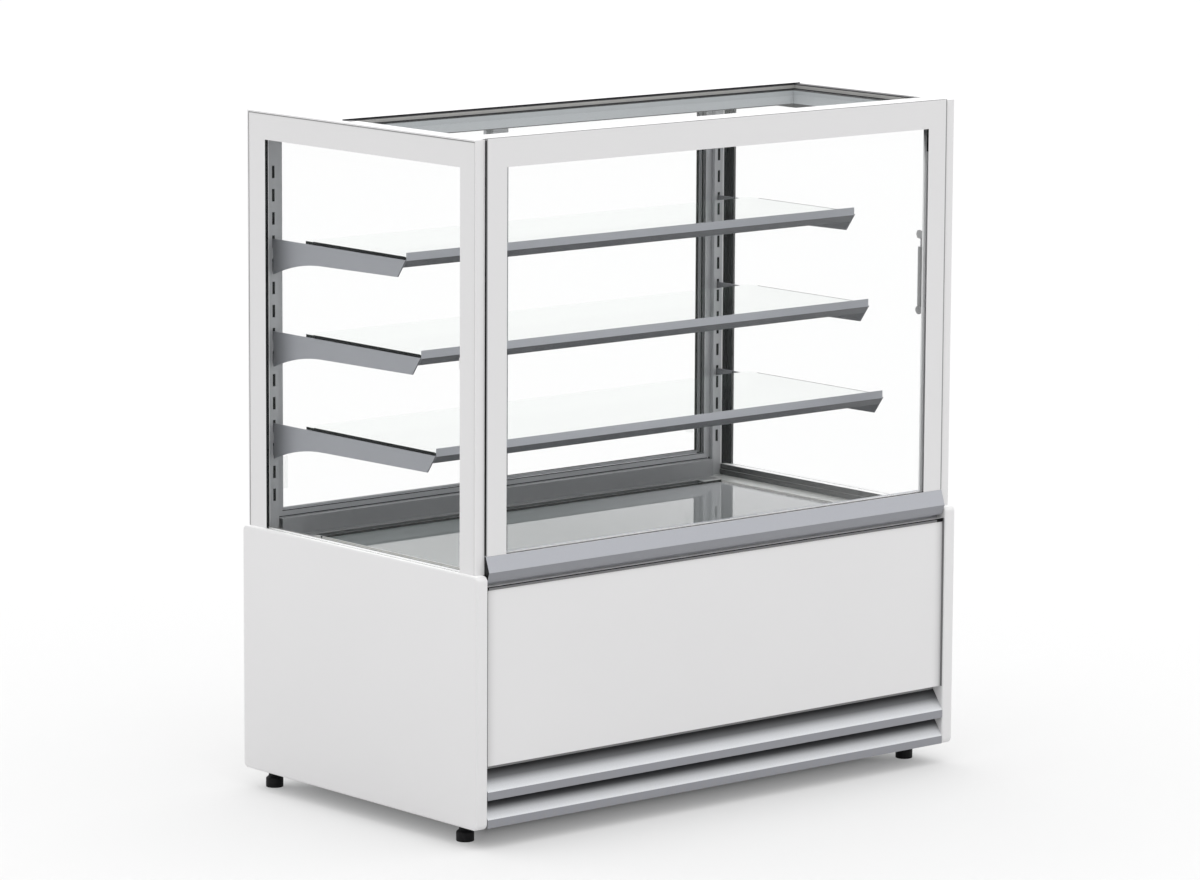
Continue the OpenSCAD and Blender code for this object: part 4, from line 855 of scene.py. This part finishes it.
class CASE_OT_door_gaskets(bpy.types.Operator):
    """Make the gaskets on the front of the rear door frame"""

    bl_idname = "case.door_gaskets"
    bl_label = "Door gaskets"

    def execute(self, context):
        sizes = context.scene.case_sizes
        sill, head, jamb = (size / MM for size in (sizes.door_sill, sizes.door_head, sizes.door_jamb))
        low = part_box("rear_door_frame")[0] / MM
        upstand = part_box("rear_upstand")[1] / MM
        corner_foot = 580
        bm = bmesh.new()
        y = (low.y - 0.9, low.y - 0.05)
        slab(bm, (-jamb, jamb), y, (sill - 1.8, sill - 0.2), 0.2)
        slab(bm, (-jamb, jamb), y, (head + 0.2, head + 2.4), 0.2)
        slab(bm, (-jamb - 9, jamb + 9), y, (upstand.z + 0.8, upstand.z + 2.4), 0.2)
        for sign in (-1, 1):
            slab(bm, (sign * (upstand.x + 0.3), sign * (upstand.x + 4)), y, (corner_foot, upstand.z + 3.6), 0.2)
        piece("door_frame_gaskets", bm, "seal_black", "chassis")
        return {"FINISHED"}


class CASE_OT_panel_seals(bpy.types.Operator):
    """Make the seals round the front panel, which also stand in for the shade in its gaps, a grey strip under the
    sill that stands in for the sill's shadow, a black seal line there that also stands in for shade, the seals
    beside the front glass, and a pale sweep seal that also stands in for a highlight
    """

    bl_idname = "case.panel_seals"
    bl_label = "Front seals"

    def execute(self, context):
        low, high = (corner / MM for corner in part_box("front_panel"))
        # Seals in the gaps beside the front panel; their dark, black on the left and grey on the right, also stands
        # in for the shade in these gaps
        for side, sign, finish in (("left", -1, "seal_black"), ("right", 1, "seal_grey")):
            bm = bmesh.new()
            slab(bm, (sign * (high.x - 1.2), sign * (high.x + 0.25)), (low.y - 5, low.y - 0.1), (low.z, high.z), 0.3)
            piece("front_panel_" + side + "_seal", bm, finish, "chassis")
        end, left_end, right_end = 1.5, 6.0, 19.0
        ahead, under_sill = (low.y - 2.2, low.y - 0.1), (high.z - 7.5, high.z)
        # A grey strip under the sill that stands in for the sill's shadow on the front panel
        bm = bmesh.new()
        slab(bm, (low.x + left_end, high.x - right_end), ahead, under_sill, 1.0)
        piece("sill_shadow_strip", bm, "seal_grey", "chassis")
        # A black seal line under the sill that also stands in for the shade in the gap, with black pieces at the
        # ends of the grey strip
        bm = bmesh.new()
        slab(bm, (low.x + end, high.x - end), (low.y - 3.0, low.y - 2.3), (high.z - 1.8, high.z + 0.4), 0.2)
        for x in ((low.x + end, low.x + left_end - 0.2), (high.x - right_end + 0.2, high.x - end)):
            slab(bm, x, ahead, under_sill, 0.4)
        piece("sill_shadow_seal", bm, "seal_black", "chassis")

        low, high = (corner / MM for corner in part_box("front_glass"))
        gap, thick, half_sweep = 0.08, 0.8, 590
        bm = bmesh.new()
        for x in (high.x + gap, low.x - gap - thick):
            slab(bm, (x, x + thick), (low.y + 0.4, low.y + 5), (low.z + 2, high.z - 4), 0.2)
        piece("front_glass_edge_seals", bm, "seal_black", "sash")
        # A pale sweep seal behind the glass's lower edge, which also stands in for a highlight above the sill
        bm = bmesh.new()
        slab(bm, (-half_sweep, half_sweep), (high.y + 0.1, high.y + 2.4), (low.z - 0.25, low.z + 2.2), 0.1)
        piece("front_glass_sweep_highlight_seal", bm, "white_board", "sash")
        return {"FINISHED"}


class CASE_OT_shelf_strips(bpy.types.Operator):
    """Make the black strips along the ends of the glass shelves"""

    bl_idname = "case.shelf_strips"
    bl_label = "Shelf end strips"

    def execute(self, context):
        for level in ("upper", "middle", "lower"):
            low, high = (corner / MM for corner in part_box(level + "_shelf_glass"))
            gap, width, rear_end = 0.2, 1.5, 28
            bm = bmesh.new()
            for x, rise in ((low.x - gap - width, 1.1), (high.x + gap, 0.3)):
                slab(bm, (x, x + width), (low.y + 2, high.y - rear_end), (low.z, high.z + rise), 0.4)
            piece(level + "_shelf_strips", bm, "seal_black", "chassis")
        return {"FINISHED"}


class CASE_OT_louvre_shade_and_filter(bpy.types.Operator):
    """Make the dust filter behind the louvre blades, whose black also stands in for the shade there"""

    bl_idname = "case.louvre_filter"
    bl_label = "Louvre shade and filter"

    def execute(self, context):
        low, high = (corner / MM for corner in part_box("louvre_blades"))
        drop, rib, pitch, reach = 110, 4, 200, 600
        bm = bmesh.new()
        slab(bm, (low.x + 3, high.x - 3), (high.y + 0.3, high.y + 2.0), (high.z - drop + 2, high.z - 0.5))
        for x in range(-reach, reach + 1, pitch):
            slab(bm, (x - rib, x + rib), (high.y + 0.1, high.y + 2.2), (high.z - drop, high.z), 0.4)
        # The filter's black also stands in for the shade behind the louvre blades
        piece("louvre_filter", bm, "shade_and_filter_black", "chassis")
        return {"FINISHED"}


class CASE_OT_feet(bpy.types.Operator):
    """Make the levelling feet with their pads, necks and screws"""

    bl_idname = "case.feet"
    bl_label = "Feet"

    def execute(self, context):
        r = context.scene.case_sizes.foot_radius / MM
        screw, neck_top = 5, 45
        pad = [(0, 0), (r - 1.2, 0), (r - 0.3, 0.4), (r, 1.3), (r, 18.5), (r - 0.7, 20.5), (r - 3, 22.2)]
        neck = [(r - 5.5, 24.5), (r - 6.3, 28), (r - 6.8, neck_top - 1), (r - 7.6, neck_top)]
        for node, body in (("front_left_foot", "foot_fl"), ("front_right_foot", "foot_fr"),
                           ("rear_left_foot", "foot_rl"), ("rear_right_foot", "foot_rr")):
            low, high = (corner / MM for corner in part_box(node))
            centre = ((low.x + high.x) / 2, (low.y + high.y) / 2, 0)
            stem = [(screw, neck_top), (screw, high.z), (0, high.z)]
            bm = bmesh.new()
            turned(bm, pad + neck + stem, centre)
            piece(node + "_turned", bm, "foot_black", body, replaces=(node,))
        return {"FINISHED"}


class CASE_OT_strut_caps(bpy.types.Operator):
    """Make the caps on both studs of each gas strut and the sleeve on its tube"""

    bl_idname = "case.strut_caps"
    bl_label = "Strut caps"

    def execute(self, context):
        r = context.scene.case_sizes.cap_radius / MM
        for side, sign in (("left", -1), ("right", 1)):
            low, high = (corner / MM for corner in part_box(side + "_strut_tube"))
            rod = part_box(side + "_strut_rod")[1] / MM
            inner = min(abs(low.x), abs(high.x))
            eye = inner + 1.5
            y = (low.y + high.y) / 2
            cap = [(0, 0), (r, 0), (r, 1.6), (r - 0.8, 2.4), (r * 0.45, 2.8), (0, 3.0)]
            bm = bmesh.new()
            turned(bm, cap, (sign * (eye - 0.1), y, low.z + 7), (-sign, 0, 0))
            x = sign * (inner + 5)
            foot, rise = 16, 6
            top = high.z - low.z - foot + rise
            turned(bm, [(5.6, 0), (6.7, 0.6), (6.7, top - 1), (6.2, top), (2.8, top), (2.8, top - 1.2),
                        (5.6, top - 1.2), (5.6, 0)], (x, y, low.z + foot))
            piece(side + "_strut_lower_cap", bm, "strut_grey", side + "_strut_tube_body")
            bm = bmesh.new()
            turned(bm, cap, (sign * (eye - 0.1), y, rod.z - 7), (-sign, 0, 0))
            piece(side + "_strut_upper_cap", bm, "strut_grey", side + "_strut_rod_body")
        return {"FINISHED"}


# Each panel's screws: places across and heights, in millimetres
SCREW_ROWS = {
    "rear_service_panel": ((-638, -319, 0, 319, 638), (73, 467)),
    "control_panel": ((-638, 638), (516,)),
    "top_cover": ((-636, -212, 212, 636), (1456,)),
}


class CASE_OT_screws(bpy.types.Operator):
    """Make the screws of the rear panels and the rear cover"""

    bl_idname = "case.screws"
    bl_label = "Panel screws"

    def execute(self, context):
        radius = context.scene.case_sizes.screw_radius
        for node, (across, up) in SCREW_ROWS.items():
            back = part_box(node)[1].y / MM
            bm = bmesh.new()
            for x in across:
                for z in up:
                    screw_head(bm, (x, back + 0.02, z), (0, 1, 0), radius)
            piece(node + "_screws", bm, "bright_steel", "chassis")
        return {"FINISHED"}


# Each bezel's width and the gap inside it, in millimetres
BEZELS = {"temperature_display": (4.0, 0.8), "main_switch": (2.6, 2.2), "light_switch": (2.6, 2.2)}


class CASE_OT_bezels(bpy.types.Operator):
    """Make the bezels of the display and the two rocker switches"""

    bl_idname = "case.bezels"
    bl_label = "Bezels"

    def execute(self, context):
        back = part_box("control_panel")[1].y / MM
        for node, (border, gap) in BEZELS.items():
            low, high = (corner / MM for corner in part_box(node))
            bm = bmesh.new()
            z = (low.z - gap - border, high.z + gap + border)
            x = (low.x - gap - border, high.x + gap + border)
            for pair in ((x[0], low.x - gap), (high.x + gap, x[1])):
                slab(bm, pair, (back + 0.02, back + 1.5), z, 0.6)
            for pair in ((z[0], low.z - gap), (high.z + gap, z[1])):
                slab(bm, x, (back + 0.02, back + 1.5), pair, 0.6)
            piece(node + "_bezel", bm, "black_plastic", "chassis")
        return {"FINISHED"}


def seen_rays(tree):
    """1 for the rays that show a surface: camera, glossy and transmission"""
    rays = tree.nodes.new("ShaderNodeLightPath").outputs
    camera, glossy, through = (
        Wire(tree, rays[name]) for name in ("Is Camera Ray", "Is Glossy Ray", "Is Transmission Ray"))
    return camera.either(glossy).either(through)


def place_camera(scene, stage):
    """The camera that took the photo"""
    lens = bpy.data.cameras.new("camera")
    lens.sensor_width = 36.0
    lens.lens = stage.lens
    lens.clip_end = 500.0
    camera = bpy.data.objects.new("camera", lens)
    scene.collection.objects.link(camera)
    forward = Vector((math.sin(stage.yaw) * math.cos(stage.pitch),
                      math.cos(stage.yaw) * math.cos(stage.pitch), -math.sin(stage.pitch)))
    right = Vector((math.cos(stage.yaw), -math.sin(stage.yaw), 0.0))
    up = right.cross(forward)
    right, up = (right * math.cos(stage.roll) + up * math.sin(stage.roll),
                 up * math.cos(stage.roll) - right * math.sin(stage.roll))
    turn = Matrix((right, up, -forward)).transposed().to_4x4()
    camera.matrix_world = Matrix.Translation(stage.camera) @ turn
    scene.camera = camera


def floor_white(stage):
    """White that glows in the open, with a painted shadow where the glow fades out under the case, and throws its
    light back in its own shade
    """
    fade, shadow = 170 * MM, (0.08, 0.08, 0.08)
    made = Finish("floor_white", Base_Color=(stage.floor,) * 3, Roughness=0.9, IOR=1.0)
    x, y, _ = made.place()
    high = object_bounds()[1]
    inside = (high.x - abs(x)).math("MINIMUM", high.y - abs(y))
    # Painted shadow: the glow fades to a dark shade under the case
    deep = (inside / fade).clamp()
    glow = made.mix(deep * deep, (1, 1, 1), shadow)
    lit = made.node("ShaderNodeEmission", Color=glow, Strength=stage.glow)
    both = made.tree.nodes.new("ShaderNodeAddShader")
    made.tree.links.new(made.shader.outputs[0], both.inputs[0])
    made.tree.links.new(lit.outputs[0], both.inputs[1])
    bounce = made.node("ShaderNodeBsdfDiffuse", Color=(stage.bounce,) * 3)
    return made.blend(seen_rays(made.tree), bounce, both)


def lay_floor(scene, stage):
    """A round floor that runs past the edges of the picture"""
    bm = bmesh.new()
    bmesh.ops.create_circle(bm, cap_ends=True, segments=96, radius=90.0)
    mesh = bpy.data.meshes.new("floor")
    bm.to_mesh(mesh)
    bm.free()
    floor = bpy.data.objects.new("floor", mesh)
    scene.collection.objects.link(floor)
    floor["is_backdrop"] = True
    mesh.materials.append(floor_white(stage).material)


def light_dome(scene, stage):
    """A white background that gives less light than it shows"""
    world = bpy.data.worlds.new("studio")
    scene.world = world
    world.use_nodes = True
    tree = world.node_tree
    back = tree.nodes["Background"]
    feed(tree, back.inputs["Color"], (1.0, 1.0, 1.0))
    feed(tree, back.inputs["Strength"], seen_rays(tree) * (1.0 - stage.dome) + stage.dome)


def hang_lamps(scene, stage):
    """The broad lamp overhead and the faint one at the front"""
    for name, strength, angle, turn in (
        ("lamp_overhead", stage.key, 130.0, (-4, 4, 0)),
        ("lamp_front", stage.fill, 60.0, (58, 0, -8)),
    ):
        lamp = bpy.data.lights.new(name, "SUN")
        lamp.energy = strength
        lamp.angle = math.radians(angle)
        holder = bpy.data.objects.new(name, lamp)
        holder.rotation_euler = [math.radians(part) for part in turn]
        scene.collection.objects.link(holder)


class CASE_OT_stage(bpy.types.Operator):
    """Set the floor, the lamps and the camera"""

    bl_idname = "case.stage"
    bl_label = "Stage"

    def execute(self, context):
        scene, stage = context.scene, context.scene.case_stage
        scene.view_settings.view_transform = "Standard"
        place_camera(scene, stage)
        lay_floor(scene, stage)
        light_dome(scene, stage)
        hang_lamps(scene, stage)
        return {"FINISHED"}


class CASE_PT_panel(bpy.types.Panel):
    """Lists the steps and their sizes"""

    bl_label = "Display Case"
    bl_idname = "CASE_PT_panel"
    bl_space_type = "VIEW_3D"
    bl_region_type = "UI"
    bl_category = "Display Case"

    def draw(self, context):
        for operator in OPERATORS:
            self.layout.operator(operator.bl_idname)
        for group in (context.scene.case_sizes, context.scene.case_colours, context.scene.case_stage):
            for name in group.__annotations__:
                self.layout.prop(group, name)


GROUPS = {"case_sizes": CaseSizes, "case_colours": CaseColours, "case_stage": StageSettings}
OPERATORS = (
    CASE_OT_finishes, CASE_OT_base_panels, CASE_OT_pane_seals, CASE_OT_post_slot_shades, CASE_OT_roof_seals,
    CASE_OT_door_gaskets, CASE_OT_panel_seals, CASE_OT_shelf_strips, CASE_OT_louvre_shade_and_filter, CASE_OT_feet,
    CASE_OT_strut_caps, CASE_OT_screws, CASE_OT_bezels, CASE_OT_stage,
)


def register():
    for made in (*GROUPS.values(), *OPERATORS, CASE_PT_panel):
        bpy.utils.register_class(made)
    for name, made in GROUPS.items():
        setattr(bpy.types.Scene, name, PointerProperty(type=made))


def unregister():
    for name in GROUPS:
        delattr(bpy.types.Scene, name)
    for made in (CASE_PT_panel, *reversed(OPERATORS), *reversed(GROUPS.values())):
        bpy.utils.unregister_class(made)


def main():
    register()
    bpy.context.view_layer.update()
    bpy.ops.case.finishes()
    bpy.ops.case.base_panels()
    bpy.ops.case.pane_seals()
    bpy.ops.case.post_liners()
    bpy.ops.case.roof_seals()
    bpy.ops.case.door_gaskets()
    bpy.ops.case.panel_seals()
    bpy.ops.case.shelf_strips()
    bpy.ops.case.louvre_filter()
    bpy.ops.case.feet()
    bpy.ops.case.strut_caps()
    bpy.ops.case.screws()
    bpy.ops.case.bezels()
    bpy.ops.case.stage()


if __name__ == "__main__":
    main()
